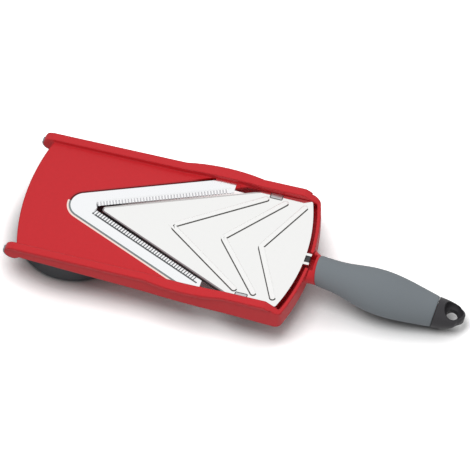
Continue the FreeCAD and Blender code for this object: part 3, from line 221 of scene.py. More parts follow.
@dataclass(frozen=True)
class Finish:
    """One finish of the slicer, made into a material on demand.

    Attributes:
        slot: The record's material slot.
        colour: Base colour, linear.
        roughness: Plain roughness.
        metallic: One for bare metal.
        grain_scale: Size of the grain, in periods per metre.
        grain_stretch: Stretch of the grain along X, Y and Z.
        shade: Share by which the grain moves the colour.
        sheen: Amount by which the grain moves the roughness.
        bump: Depth of the grain, in metres.
        edge: Radius of the softened edges, in metres.
        coat: Weight of a clear coat.
        specular: Specular level.
        wall: Painted shade or highlight for walls facing one side, or None where they are like the
            rest.
        wall_level: Height of the normal below which a wall counts as upright.
        facing: Side that the walls look to along Y, or zero for all of them.
        label: Name of the material where it isn't the slot's.
    """

    slot: str
    colour: Colour
    roughness: float
    metallic: float = 0.0
    grain_scale: float = 600.0
    grain_stretch: Colour = (1.0, 1.0, 1.0)
    shade: float = 0.06
    sheen: float = 0.08
    bump: float = 0.00002
    edge: float = 0.0
    coat: float = 0.0
    specular: float = 0.5
    wall: Colour | None = None
    wall_level: float = 0.5
    facing: float = 0.0
    label: str = ""

    def material(self) -> bpy.types.Material:
        """Make the finish's material the first time it is asked for.

        Returns:
            The material.
        """
        name = "finish_" + (self.label or self.slot)
        made = bpy.data.materials.get(name)
        if made is None:
            made = bpy.data.materials.new(name)
            made.use_nodes = True
            self._wire(made.node_tree)
        return made

    def _wire(self, tree: bpy.types.NodeTree) -> None:
        """Lay the finish's nodes: painted wall shading, grain, softened edges and the Principled
        shader.

        Args:
            tree: The material's node tree, as Blender makes it.
        """
        shader = tree.nodes["Principled BSDF"]
        shader.inputs["Metallic"].default_value = self.metallic
        shader.inputs["Coat Weight"].default_value = self.coat
        shader.inputs["Specular IOR Level"].default_value = self.specular
        grain = self._place(tree, GROUPS.grain, {
            "Colour": (*self.colour, 1.0), "Roughness": self.roughness,
            "Scale": self.grain_scale, "Stretch": self.grain_stretch,
            "Shade": self.shade, "Sheen": self.sheen})
        # Paints shade or highlight onto the walls that face one side.
        if self.wall is not None:
            walls = self._place(tree, GROUPS.walls, {
                "Colour": (*self.colour, 1.0), "Wall": (*self.wall, 1.0),
                "Level": self.wall_level, "Facing": self.facing})
            join(tree, (walls.outputs["Colour"], grain.inputs["Colour"]))
        bump = tree.nodes.new("ShaderNodeBump")
        bump.inputs["Distance"].default_value = self.bump
        if self.edge > 0.0:
            soft = tree.nodes.new("ShaderNodeBevel")
            soft.samples = EDGE_SAMPLES
            soft.inputs["Radius"].default_value = self.edge
            join(tree, (soft.outputs[0], bump.inputs["Normal"]))
        join(tree, (grain.outputs["Colour"], shader.inputs["Base Color"]),
             (grain.outputs["Roughness"], shader.inputs["Roughness"]),
             (grain.outputs["Height"], bump.inputs["Height"]),
             (bump.outputs[0], shader.inputs["Normal"]))

    @staticmethod
    def _place(tree: bpy.types.NodeTree, group: bpy.types.NodeTree,
               values: dict) -> bpy.types.Node:
        """Put a shader group into a tree with its own values.

        Args:
            tree: The material's node tree.
            group: The group to place.
            values: Plain value of each input socket.

        Returns:
            The group's node.
        """
        node = tree.nodes.new("ShaderNodeGroup")
        node.node_tree = group
        for label, value in values.items():
            node.inputs[label].default_value = value
        return node


RED = Finish("frame_red", (0.585, 0.020, 0.027), 0.42, edge=0.0022, grain_scale=350.0,
             shade=0.10, bump=0.00003, specular=0.3)
GREY = Finish("grip_grey", (0.198, 0.221, 0.239), 0.62, grain_scale=1400.0, shade=0.05,
              bump=0.00006, specular=0.25)
DARK_CAP = Finish("cap_dark", (0.036, 0.034, 0.038), 0.42, edge=0.0012, shade=0.12,
                  specular=0.35)
FOOT = Finish("foot_grey", (0.262, 0.328, 0.352), 0.7, edge=0.0004)
BLADE = Finish("blade_steel", (0.92, 0.93, 0.945), 0.2, metallic=1.0, grain_scale=900.0,
               grain_stretch=(1.0, 6.0, 1.0), shade=0.05, sheen=0.10, bump=0.000004)
PLATE = Finish("plate_steel", (0.90, 0.90, 0.89), 0.1, metallic=1.0, grain_scale=250.0,
               shade=0.02, sheen=0.04, bump=0.000002)
# Pressed ribs: near-white steel, with a painted dark reflection on the flanks that face -Y.
RIB_DARK_FLANK = Finish("plate_steel", (0.93, 0.93, 0.92), 0.3, metallic=0.1,
             wall=(0.065, 0.063, 0.057), wall_level=0.95, facing=-1.0, label="rib_dark_flank")
BLACK = Finish("carrier_black", (0.03, 0.03, 0.032), 0.45, edge=0.0004)
DIAL = Finish("dial_dark", (0.042, 0.048, 0.054), 0.36, edge=0.0008)
RUBBER = Finish("pad_rubber", (0.03, 0.03, 0.03), 0.8)
WHITE = Finish("bush_white", (0.8, 0.8, 0.78), 0.4)
STEEL = Finish("fastener_steel", (0.6, 0.6, 0.62), 0.28, metallic=1.0, edge=0.0002)
BRASS = Finish("insert_brass", (0.65, 0.5, 0.22), 0.3, metallic=1.0)
SHADOW_LINE = Finish("plate_steel", (0.13, 0.13, 0.13), 0.5, metallic=1.0, label="joint_dark")
LUG = Finish("plate_steel", (0.56, 0.575, 0.585), 0.3, metallic=1.0, label="lug_steel")
# Dark strip under the plate's edge: painted shade of the gap there.
GAP_SHADE = Finish("plate_steel", (0.035, 0.026, 0.029), 0.5, metallic=0.5, label="gap_shade")
# Bent edge of the plate: a painted grey reflection of the rounded bend, and painted mauve shade on
# the faces that look to -Y.
BEND_SHADE = Finish("plate_steel", (0.60, 0.58, 0.57), 0.3, metallic=1.0,
              wall=(0.30, 0.26, 0.27), wall_level=1.1, facing=-1.0, label="plate_bend_shade")
# Step of the bevel: a painted dark shade line on the faces that look to +Y, light steel on the
# others.
STEP_SHADE = Finish("blade_steel", (0.88, 0.89, 0.9), 0.3, metallic=1.0,
              wall=(0.11, 0.118, 0.122), wall_level=1.1, facing=1.0, label="bevel_step_shade")
# Flutes: painted shade, dark grey on the faces that look to +Y and lighter grey on the others.
FLUTE_SHADE = Finish("blade_steel", (0.60, 0.60, 0.62), 0.3, metallic=1.0,
               wall=(0.19, 0.20, 0.21), wall_level=1.1, facing=1.0, label="flute_shade")
# Teeth: a painted highlight, near-white and nearly matt, laid over the steel between the flutes.
TOOTH_HIGHLIGHT = Finish("blade_steel", (0.97, 0.97, 0.98), 0.4, metallic=0.2, label="tooth_highlight")
# Blade's border: a painted reflection, grey on the faces that look to -Y and the deck's dark red on
# the others.
BORDER_REFLECTION = Finish("blade_steel", (0.12, 0.012, 0.015), 0.3, metallic=1.0,
                wall=(0.23, 0.26, 0.26), wall_level=1.1, facing=-1.0, label="border_reflection")
# Line beside the border: a painted pale pink highlight on the faces that look to -Y, and a painted
# red reflection of the deck on the others.
GLINT = Finish("blade_steel", (0.50, 0.04, 0.045), 0.3, metallic=1.0,
               wall=(0.95, 0.76, 0.70), wall_level=1.1, facing=-1.0, label="border_highlight")
FINISHES = (RED, GREY, DARK_CAP, FOOT, BLADE, PLATE, BLACK, DIAL, RUBBER, WHITE, STEEL, BRASS)


# Meshes from whole arrays

def grid_faces(rows: int, columns: int, closed: bool) -> np.ndarray:
    """Quads of a grid of rows by columns of points.

    Args:
        rows: Points along the first parameter.
        columns: Points along the second parameter.
        closed: Whether the second parameter runs round.

    Returns:
        An array of four point numbers for each quad.
    """
    index = np.arange(rows * columns).reshape(rows, columns)
    if closed:
        index = np.concatenate([index, index[:, :1]], axis=1)
    corners = [index[:-1, :-1], index[1:, :-1], index[1:, 1:], index[:-1, 1:]]
    return np.stack(corners, axis=-1).reshape(-1, 4)


def add_piece(name: str, points: np.ndarray, faces: list, body: Body, finish: Finish,
              angle: float = SHARP) -> bpy.types.Object:
    """Make an object of a point array, in place, riding on a body.

    Args:
        name: Name of the piece.
        points: An array of points, in metres.
        faces: Point numbers of each face.
        body: The body that carries the piece.
        finish: The piece's finish.
        angle: Edges sharper than this, in degrees, stay sharp.

    Returns:
        The new object, smooth shaded with its sharp edges kept.
    """
    mesh = bpy.data.meshes.new(name)
    mesh.from_pydata(points.reshape(-1, 3).tolist(), [], faces)
    return settle(name, mesh, body, finish, angle)


def settle(name: str, mesh: bpy.types.Mesh, body: Body, finish: Finish,
           angle: float = SHARP) -> bpy.types.Object:
    """Merge a mesh's doubles, turn its faces outwards, smooth it and put it into the scene.

    Args:
        name: Name of the piece.
        mesh: The mesh, in the CAD frame.
        body: The body that carries the piece.
        finish: The piece's finish.
        angle: Edges sharper than this, in degrees, stay sharp.

    Returns:
        The new object.
    """
    work = bmesh.new()
    work.from_mesh(mesh)
    bmesh.ops.remove_doubles(work, verts=work.verts, dist=MERGE)
    bmesh.ops.recalc_face_normals(work, faces=work.faces)
    for face in work.faces:
        face.smooth = True
    limit = math.radians(angle)
    for edge in work.edges:
        edge.smooth = len(edge.link_faces) == 2 and edge.calc_face_angle(0.0) < limit
    work.to_mesh(mesh)
    work.free()
    piece = bpy.data.objects.new(name, mesh)
    bpy.context.scene.collection.objects.link(piece)
    mesh.materials.clear()
    mesh.materials.append(finish.material())
    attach(piece, body.value)
    LOG.info("%s: %d faces", name, len(mesh.polygons))
    return piece


def strip_faces(rows: int, columns: int) -> list:
    """Quads of a closed profile along a path, with both ends filled."""
    quads = grid_faces(rows, columns, True).tolist()
    return quads + [list(range(columns)), list(range((rows - 1) * columns, rows * columns))]


def sweep(path: np.ndarray, side: np.ndarray, profile: np.ndarray) -> np.ndarray:
    """Carry a profile along a level path.

    Each point is path + across * side + rise * Z, where (across, rise) is a point of the profile.

    Args:
        path: Points of the path, one row each.
        side: Unit sideways direction at each point of the path.
        profile: Points (across, rise) of the section, for all stations or for each of them.

    Returns:
        An array of stations by section points by three.
    """
    profile = np.broadcast_to(profile, (len(path),) + profile.shape[-2:])
    up = np.array([0.0, 0.0, 1.0])
    return path[:, None, :] + profile[..., :1] * side[:, None, :] + profile[..., 1:] * up


def smooth_line(places: np.ndarray, stations: np.ndarray, values: np.ndarray) -> np.ndarray:
    """Natural cubic spline through the values at the stations.

    The second slopes M solve the usual three-term system, and between two stations the value is
    the cubic with those slopes.

    Args:
        places: Where the spline is wanted.
        stations: Places of the given values, rising.
        values: The given values.

    Returns:
        The spline's value at each place.
    """
    gap = np.diff(stations)
    count = len(stations)
    system = np.eye(count)
    right = np.zeros(count)
    inner = np.arange(1, count - 1)
    system[inner, inner - 1] = gap[:-1]
    system[inner, inner] = 2.0 * (gap[:-1] + gap[1:])
    system[inner, inner + 1] = gap[1:]
    right[1:-1] = 6.0 * np.diff(np.diff(values) / gap)
    bend = np.linalg.solve(system, right)
    k = np.clip(np.searchsorted(stations, places) - 1, 0, count - 2)
    a = (stations[k + 1] - places) / gap[k]
    b = 1.0 - a
    square = gap[k] ** 2 / 6.0
    curve = (a ** 3 - a) * bend[k] + (b ** 3 - b) * bend[k + 1]
    return a * values[k] + b * values[k + 1] + curve * square


def profile_strip(path: np.ndarray, level: float, profile: Section) -> tuple[np.ndarray, list]:
    """A thin strip along a level path.

    The sideways direction at each point is the path's own direction, from central differences,
    turned a quarter turn to the left.

    Args:
        path: Points (x, y) of the strip's line, in millimetres.
        level: Height of the profile's zero.
        profile: Points (across, rise) of the closed section.

    Returns:
        The points, in metres, and the faces.
    """
    way = np.gradient(path, axis=0)
    way /= np.linalg.norm(way, axis=1, keepdims=True)
    side = np.column_stack([-way[:, 1], way[:, 0], np.zeros(len(path))])
    spine = np.column_stack([path, np.full(len(path), level)])
    return sweep(spine, side, np.array(profile)) * MM, strip_faces(len(path), len(profile))


# Sub-assemblies

@dataclass
class VShape:
    """The V that the blade, its bevel and the plate's edges share.

    Millimetres, as in the CAD source: slope is the sideways run per length, and lead is the
    meeting point of the blade's outer edges ahead of the dial's axis.
    """

    slope: float = 0.431
    lead: float = 23.6

    def path(self, inset: float, nose: float, tail: float, steps: int = 40,
             arm: int = 30) -> np.ndarray:
        """Line at an even distance inside the blade's outer edge.

        Two straight arms that meet at the apex -lead + inset sqrt(1 + slope^2) / slope are joined
        by an arc of the nose's radius that touches both.

        Args:
            inset: Distance from the blade's outer edge.
            nose: Radius of the line's point.
            tail: Where the arms end along X.
            steps: Points of the arc.
            arm: Points of each arm.

        Returns:
            Points (x, y) from the end of the right arm to the end of the left one.
        """
        slant = math.sqrt(1.0 + self.slope ** 2)
        apex = -self.lead + inset * slant / self.slope
        centre = apex + nose * slant / self.slope
        open_angle = math.pi / 2 + math.atan(self.slope)
        angle = np.linspace(open_angle, 2.0 * math.pi - open_angle, steps)
        arc = np.column_stack([centre + nose * np.cos(angle), nose * np.sin(angle)])
        places = np.linspace(tail, arc[0, 0], arm, endpoint=False)
        right = np.column_stack([places, self.slope * (places - apex)])
        return np.concatenate([right, arc, right[::-1] * np.array([1.0, -1.0])])


@dataclass
class CadPieces:
    """The CAD nodes that keep their own shape and only get their finish.

    Attributes:
        angle: Edges sharper than this, in degrees, stay sharp.
        others: Nodes whose finish isn't their slot's first one.
        eased: Nodes drawn in by a hair about their middle, clear of what turns against them.
    """

    angle: float = 30.0
    others: tuple[tuple[str, Finish], ...] = (
        ("guide_lug_left", LUG), ("guide_lug_right", LUG))
    eased: tuple[tuple[str, Colour], ...] = (("dial_washer", (0.997, 0.997, 0.98)),)

    def dress(self, kept: set[str]) -> None:
        """Show each node as a merged, smooth copy in the finish of its slot.

        Args:
            kept: Nodes that another class replaces.
        """
        record = frame["record"]
        slots = {entry["node"]: entry["material_slot"] for entry in record["subparts"]}
        finishes = {finish.slot: finish for finish in FINISHES}
        bodies = record["behaviour"]["bodies"]
        homes = {node: body for body, nodes in bodies.items() for node in nodes}
        for node, source in frame["nodes"].items():
            finish = dict(self.others).get(node, finishes[slots[node]])
            source.data.materials.clear()
            source.data.materials.append(finish.material())
            if node not in kept:
                mesh = source.data.copy()
                self._ease(mesh, dict(self.eased).get(node))
                body = Body(homes[node])
                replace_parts(settle(node + "_skin", mesh, body, finish, self.angle), node)

    @staticmethod
    def _ease(mesh: bpy.types.Mesh, share: Colour | None) -> None:
        """Scale a mesh about the middle of its box.

        Each point moves to middle + share (point - middle).

        Args:
            mesh: The mesh to scale, in place.
            share: Share of its size along X, Y and Z, or None to leave it.
        """
        if share is not None:
            points = np.empty(len(mesh.vertices) * 3)
            mesh.vertices.foreach_get("co", points)
            points = points.reshape(-1, 3)
            middle = (points.min(axis=0) + points.max(axis=0)) / 2.0
            eased = middle + (points - middle) * np.array(share)
            mesh.vertices.foreach_set("co", eased.ravel())


@dataclass
class Handle:
    """The grey grip and the seams at both of its ends.

    The sizes are those of the CAD source, in millimetres: the place of each oval behind the
    grip's front, its half width and its half depth.
    """

    neck: Colour = (223.0, 0.0, 35.2)
    fall: float = 10.6
    rake: float = 16.0
    places: tuple[float, ...] = (0.0, 21.0, 42.0, 56.0, 73.0, 90.0, 108.0)
    widths: tuple[float, ...] = (13.8, 15.1, 19.1, 20.5, 19.7, 17.0, 13.3)
    depths: tuple[float, ...] = (12.7, 13.9, 17.6, 18.9, 18.4, 16.8, 15.5)
    core: float = 6.6
    lip: float = 0.5
    rows: int = 90
    columns: int = 96

    def _turn(self) -> np.ndarray:
        """Rotation from the handle's own axis to its fall."""
        return np.array(Matrix.Rotation(math.radians(self.fall), 3, "Y"))

    def set(self, local: np.ndarray) -> np.ndarray:
        """Put points of the handle's own axis, in millimetres, into their place in metres."""
        return (local @ self._turn().T + np.array(self.neck)) * MM

    def unset(self, points: np.ndarray) -> np.ndarray:
        """Bring points in metres back to the handle's own axis, in millimetres."""
        return (points / MM - np.array(self.neck)) @ self._turn()

    def build(self) -> bpy.types.Object:
        """Skin of the grip with rounded rims.

        With t along the axis and q round it, a point is (t - rake lean, w(t) cos q, d(t) sin q).
        w and d are splines through the ovals, the lean fades out over the neck, and at both ends
        the oval draws in along a quarter circle before it closes onto the core.

        Returns:
            The grip's skin, standing for the CAD node.
        """
        places = np.array(self.places)
        along = np.linspace(places[0], places[-1], self.rows)
        wide = smooth_line(along, places, np.array(self.widths))
        deep = smooth_line(along, places, np.array(self.depths))
        near = np.minimum(along - places[0], places[-1] - along)
        inward = 1.0 - np.clip(near / self.lip, 0, 1)
        draw = self.lip * (1.0 - np.sqrt(np.clip(1.0 - inward ** 2, 0, 1)))
        wide, deep = wide - draw, deep - draw
        along = np.concatenate([along[:1], along, along[-1:]])
        wide = np.concatenate([[self.core], wide, [self.core]])
        deep = np.concatenate([[self.core], deep, [self.core]])
        angle = np.linspace(0.0, 2.0 * np.pi, self.columns, endpoint=False)
        y = wide[:, None] * np.cos(angle)
        z = deep[:, None] * np.sin(angle)
        fade = np.clip(1.0 - along / places[1], 0.0, 1.0)[:, None]
        x = along[:, None] - fade * math.tan(math.radians(self.rake)) * z
        points = self.set(np.stack([x, y, z], axis=-1))
        faces = strip_faces(len(along), self.columns)
        piece = add_piece("grip_body", points, faces, Body.FRAME, GREY)
        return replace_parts(piece, "grip")


@dataclass
class EndCap:
    """The dark cap, as its CAD skin with the corners of its tip drawn back into a round end.

    Millimetres, on the handle's own axis.
    """

    handle: Handle
    reach: float = 8.0
    pull: float = 2.6
    half: float = 6.2
    limit: float = 1.2

    def build(self) -> bpy.types.Object:
        """Bend the tip.

        With e the smooth step of t from 0 to 1 over the last reach of the cap, each point's t
        falls by pull e (y / half)^2, so that the flat end becomes a parabola. y / half goes no
        further than the limit.

        Returns:
            The cap's skin, standing for the CAD node.
        """
        mesh = frame["nodes"]["end_cap"].data.copy()
        points = np.empty(len(mesh.vertices) * 3)
        mesh.vertices.foreach_get("co", points)
        local = self.handle.unset(points.reshape(-1, 3))
        along = local[:, 0]
        ease = np.clip((along - along.max() + self.reach) / self.reach, 0.0, 1.0)
        ease = ease * ease * (3.0 - 2.0 * ease)
        across = np.minimum(np.abs(local[:, 1]) / self.half, self.limit)
        local[:, 0] -= self.pull * ease * across ** 2
        mesh.vertices.foreach_set("co", self.handle.set(local).ravel())
        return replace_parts(settle("end_cap_body", mesh, Body.FRAME, DARK_CAP), "end_cap")


@dataclass
class SlicingPlate:
    """The plate's pressed ribs, as beads with sloping flanks over the CAD ribs and a painted dark
    reflection on the flanks that face -Y, and the painted shade of its bent edge and of the gap
    under it.

    Millimetres, as in the CAD source.
    """

    shape: VShape
    top: float = STEEL_TOP
    edge: float = 17.5
    edge_nose: float = 3.2
    edge_tail: float = 153.0
    half: float = 50.6
    width: float = 4.0
    height: float = 0.7
    flank: float = 1.05
    bow: float = 6.0
    skin: float = 0.04
    foot_lift: float = 0.01
    shoulder: float = 0.05
    brow: float = 0.35
    crown: float = 0.25
    rib_angle: float = 15.0
    ribs: Section = ((88.7, 160.0), (135.4, 177.6), (170.1, 195.4))
    bend_section: Section = ((1.2, 0.08), (-0.06, 0.02), (-0.06, -1.0), (0.0, -1.0),
                             (0.0, -0.02), (1.2, -0.02))
    gap_section: Section = ((-0.06, -1.0), (-0.06, -4.4), (0.0, -4.4), (0.0, -1.0))

    def _bead(self, point: float, tail: float, steps: int = 24) -> tuple[np.ndarray, list]:
        """Surface of one V-shaped rib.

        The outline is a capsule round the V's two arms, with its point rounded about a middle that
        lies bow behind it. Four rings of it are stacked: the foot at width + flank, the shoulder at
        the rib's width, then the flat top drawn in twice.

        Args:
            point: Place of the V's point along X.
            tail: Place of the V's ends along X.
            steps: Points round each end.

        Returns:
            The points and the faces.
        """
        arm = np.array([tail - point, self.half])
        unit = arm / np.hypot(*arm)
        across = np.array([-unit[1], unit[0]])
        bend = np.linspace(np.pi / 2, -np.pi / 2, steps)[:, None]
        cap = np.cos(bend) * unit + np.sin(bend) * across
        side = math.atan2(unit[0], -unit[1])
        turn = np.linspace(2.0 * math.pi - side, side, 2 * (steps // 4) + 1)
        front = np.column_stack([np.cos(turn), np.sin(turn)])

        def ring(radius: float, level: float) -> np.ndarray:
            """Outline of the capsule at a distance from the V's line and at a height.

            Args:
                radius: Distance from the line.
                level: Height of the ring.

            Returns:
                The ring's points: the point, the right end, the inner corner and the left end.
            """
            end = np.array([tail, self.half]) + radius * cap
            outer = np.array([point + self.bow, 0.0]) + (self.bow * unit[1] + radius) * front
            inner = np.array([[point + radius / unit[1], 0.0]])
            mirror = end[::-1] * np.array([1.0, -1.0])
            flat = np.concatenate([outer, end, inner, mirror])
            return np.column_stack([flat, np.full(len(flat), level)])

        radius = self.width / 2.0
        crest = self.top + self.height
        rings = np.stack([ring(radius + self.flank, self.top + self.foot_lift),
                          ring(radius + self.shoulder, crest),
                          ring(radius - self.brow, crest + self.skin),
                          ring(radius * self.crown, crest + self.skin)])
        rows, columns = rings.shape[:2]
        last = (rows - 1) * columns + np.arange(columns)
        nose, right, middle, left = np.split(last, np.cumsum([len(turn), steps, 1]))
        half = len(turn) // 2
        faces = grid_faces(rows, columns, True).tolist()
        faces += [right.tolist(), left.tolist(),
                  [*nose[half:].tolist(), right[0], right[-1], middle[0]],
                  [middle[0], left[0], left[-1], *nose[:half + 1].tolist()]]
        return rings * MM, faces

    def build(self) -> list[bpy.types.Object]:
        """The painted shade of the plate's bent edge and of the gap under it, and the three pressed
        ribs.

        Returns:
            The new pieces.
        """
        path = self.shape.path(self.edge, self.edge_nose, self.edge_tail)
        strips = (("plate_bend_shade", self.bend_section, BEND_SHADE), ("gap_shade", self.gap_section, GAP_SHADE))
        pieces = []
        for name, profile, finish in strips:
            points, faces = profile_strip(path, self.top, profile)
            pieces.append(add_piece(name, points, faces, Body.PLATE, finish))
        for number, (point, tail) in enumerate(self.ribs, start=1):
            points, faces = self._bead(point, tail)
            name = "pressed_rib_%d" % number
            pieces.append(add_piece(name, points, faces, Body.PLATE, RIB_DARK_FLANK, self.rib_angle))
        return pieces


@dataclass
class Blade:
    """Painted lines over the V blade: reflection along its border, shade on the step of the bevel
    and in the flutes, and highlights on the teeth.

    Millimetres, as in the CAD source.
    """

    shape: VShape
    top: float = STEEL_TOP
    width: float = 15.3
    outer_nose: float = 13.0
    step: float = 4.9
    step_nose: float = 8.0
    bevel: float = 7.45
    depth: float = 0.7
    start: float = 6.0
    pitch: float = 2.7
    count: int = 43
    rim_tail: float = 112.0
    step_tail: float = 127.0
    flute_half: float = 0.48
    tooth_half: float = 0.8
    lift: float = 0.02
    thick: float = 0.05
    border_section: Section = ((0.2, 0.04), (-1.5, -0.3), (-1.5, -0.4), (0.2, -0.04))
    glint_section: Section = ((-1.5, -0.3), (-3.0, -0.54), (-3.0, -0.62), (-1.5, -0.4))
    step_section: Section = ((-0.8, 0.14), (0.7, -0.05), (0.7, -0.08), (-0.8, -0.02))

    def build(self) -> list[bpy.types.Object]:
        """The border's painted reflection and highlight strips, the step's painted shade line, the
        flutes' painted shades and the teeth's painted highlights.

        Returns:
            The new pieces.
        """
        rim = self.shape.path(0.0, self.outer_nose, self.rim_tail)
        line = self.shape.path(self.width - self.step, self.step_nose, self.step_tail)
        fall = self.depth * (1.0 - self.step / self.bevel)
        strips = (("blade_border_reflection", rim, 0.0, self.border_section, BORDER_REFLECTION),
                  ("border_glint", rim, 0.0, self.glint_section, GLINT),
                  ("bevel_step_shade", line, -fall, self.step_section, STEP_SHADE))
        pieces = []
        for name, path, drop, profile, finish in strips:
            points, faces = profile_strip(path, self.top + drop, profile)
            pieces.append(add_piece(name, points, faces, Body.FRAME, finish))
        return pieces + [self._comb("flute_shades", 0.0, self.flute_half, FLUTE_SHADE),
                         self._comb("tooth_highlights", self.pitch / 2.0, self.tooth_half, TOOTH_HIGHLIGHT)]

    def _comb(self, name: str, shift: float, half: float, finish: Finish, near: float = 0.2,
              far: float = 4.2) -> bpy.types.Object:
        """Thin flat faces of painted shade over the flutes, or of painted highlight over the teeth
        between them, of both edges.

        The middle of face k lies at s = start + shift + k pitch along the cutting edge, and each
        is a flat box from near to far behind the edge, laid on the falling bevel.

        Args:
            name: Name of the piece.
            shift: Shift of the faces along the edge.
            half: Half their width.
            finish: Their finish.
            near: Distance of a face's front from the edge.
            far: Distance of its back.

        Returns:
            All the faces, as one piece.
        """
        slant = math.sqrt(1.0 + self.shape.slope ** 2)
        along = np.array([1.0, self.shape.slope]) / slant
        out = np.array([-self.shape.slope, 1.0]) / slant
        apex = np.array([-self.shape.lead + self.width * slant / self.shape.slope, 0.0])
        middle = apex + (self.start + shift + self.pitch * np.arange(self.count))[:, None] * along
        base = ((-1, 0), (1, 0), (1, 1), (-1, 1))
        corner = np.array([[u, d, r] for r in (0.0, 1.0) for u, d in base])
        back = near + (far - near) * corner[:, 1]
        flat = middle[:, None, :] + (half * corner[:, :1]) * along + back[:, None] * out
        slope = self.top - self.depth * (1.0 - back / self.bevel)
        rise = slope + self.lift + self.thick * corner[:, 2]
        levels = np.broadcast_to(rise[:, None], flat.shape[:2] + (1,))
        boxes = np.concatenate([flat, levels], axis=-1)
        boxes = np.concatenate([boxes, boxes * np.array([1.0, -1.0, 1.0])])
        sides = np.array([[0, 1, 2, 3], [4, 5, 6, 7], [0, 1, 5, 4],
                          [1, 2, 6, 5], [2, 3, 7, 6], [3, 0, 4, 7]])
        faces = (8 * np.arange(len(boxes))[:, None, None] + sides).reshape(-1, 4).tolist()
        return add_piece(name, boxes * MM, faces, Body.FRAME, finish)


@dataclass
class LugOutline:
    """Dark joint round each guide lug in the plate's sides.

    Millimetres, as in the CAD source.
    """

    place: float = 168.0
    length: float = 10.6
    half: float = 59.0
    bite: float = 5.6
    top: float = STEEL_TOP
    line: float = 0.9
    slack: float = 0.1
    inset: float = 0.3
    turn: float = 0.4
    sunk: float = 0.02
    raised: float = 0.04

    def build(self) -> list[bpy.types.Object]:
        """A three-sided line round the tab of each lug.

        Returns:
            The lines on the left and on the right.
        """
        fore = self.place - self.length / 2 - self.slack
        rear = self.place + self.length / 2 + self.slack
        near = self.half - self.bite - self.slack
        end, turn = self.half - self.inset, self.turn
        path = np.array([[fore, end], [fore, near + turn], [fore + turn, near],
                         [rear - turn, near], [rear, near + turn], [rear, end]])
        half = self.line / 2.0
        section = ((-half, -self.sunk), (half, -self.sunk),
                   (half, self.raised), (-half, self.raised))
        pieces = []
        for name, sign in (("right", 1.0), ("left", -1.0)):
            points, faces = profile_strip(path * np.array([1.0, sign]), self.top, section)
            pieces.append(add_piece("lug_joint_" + name, points, faces, Body.PLATE, SHADOW_LINE))
        return pieces


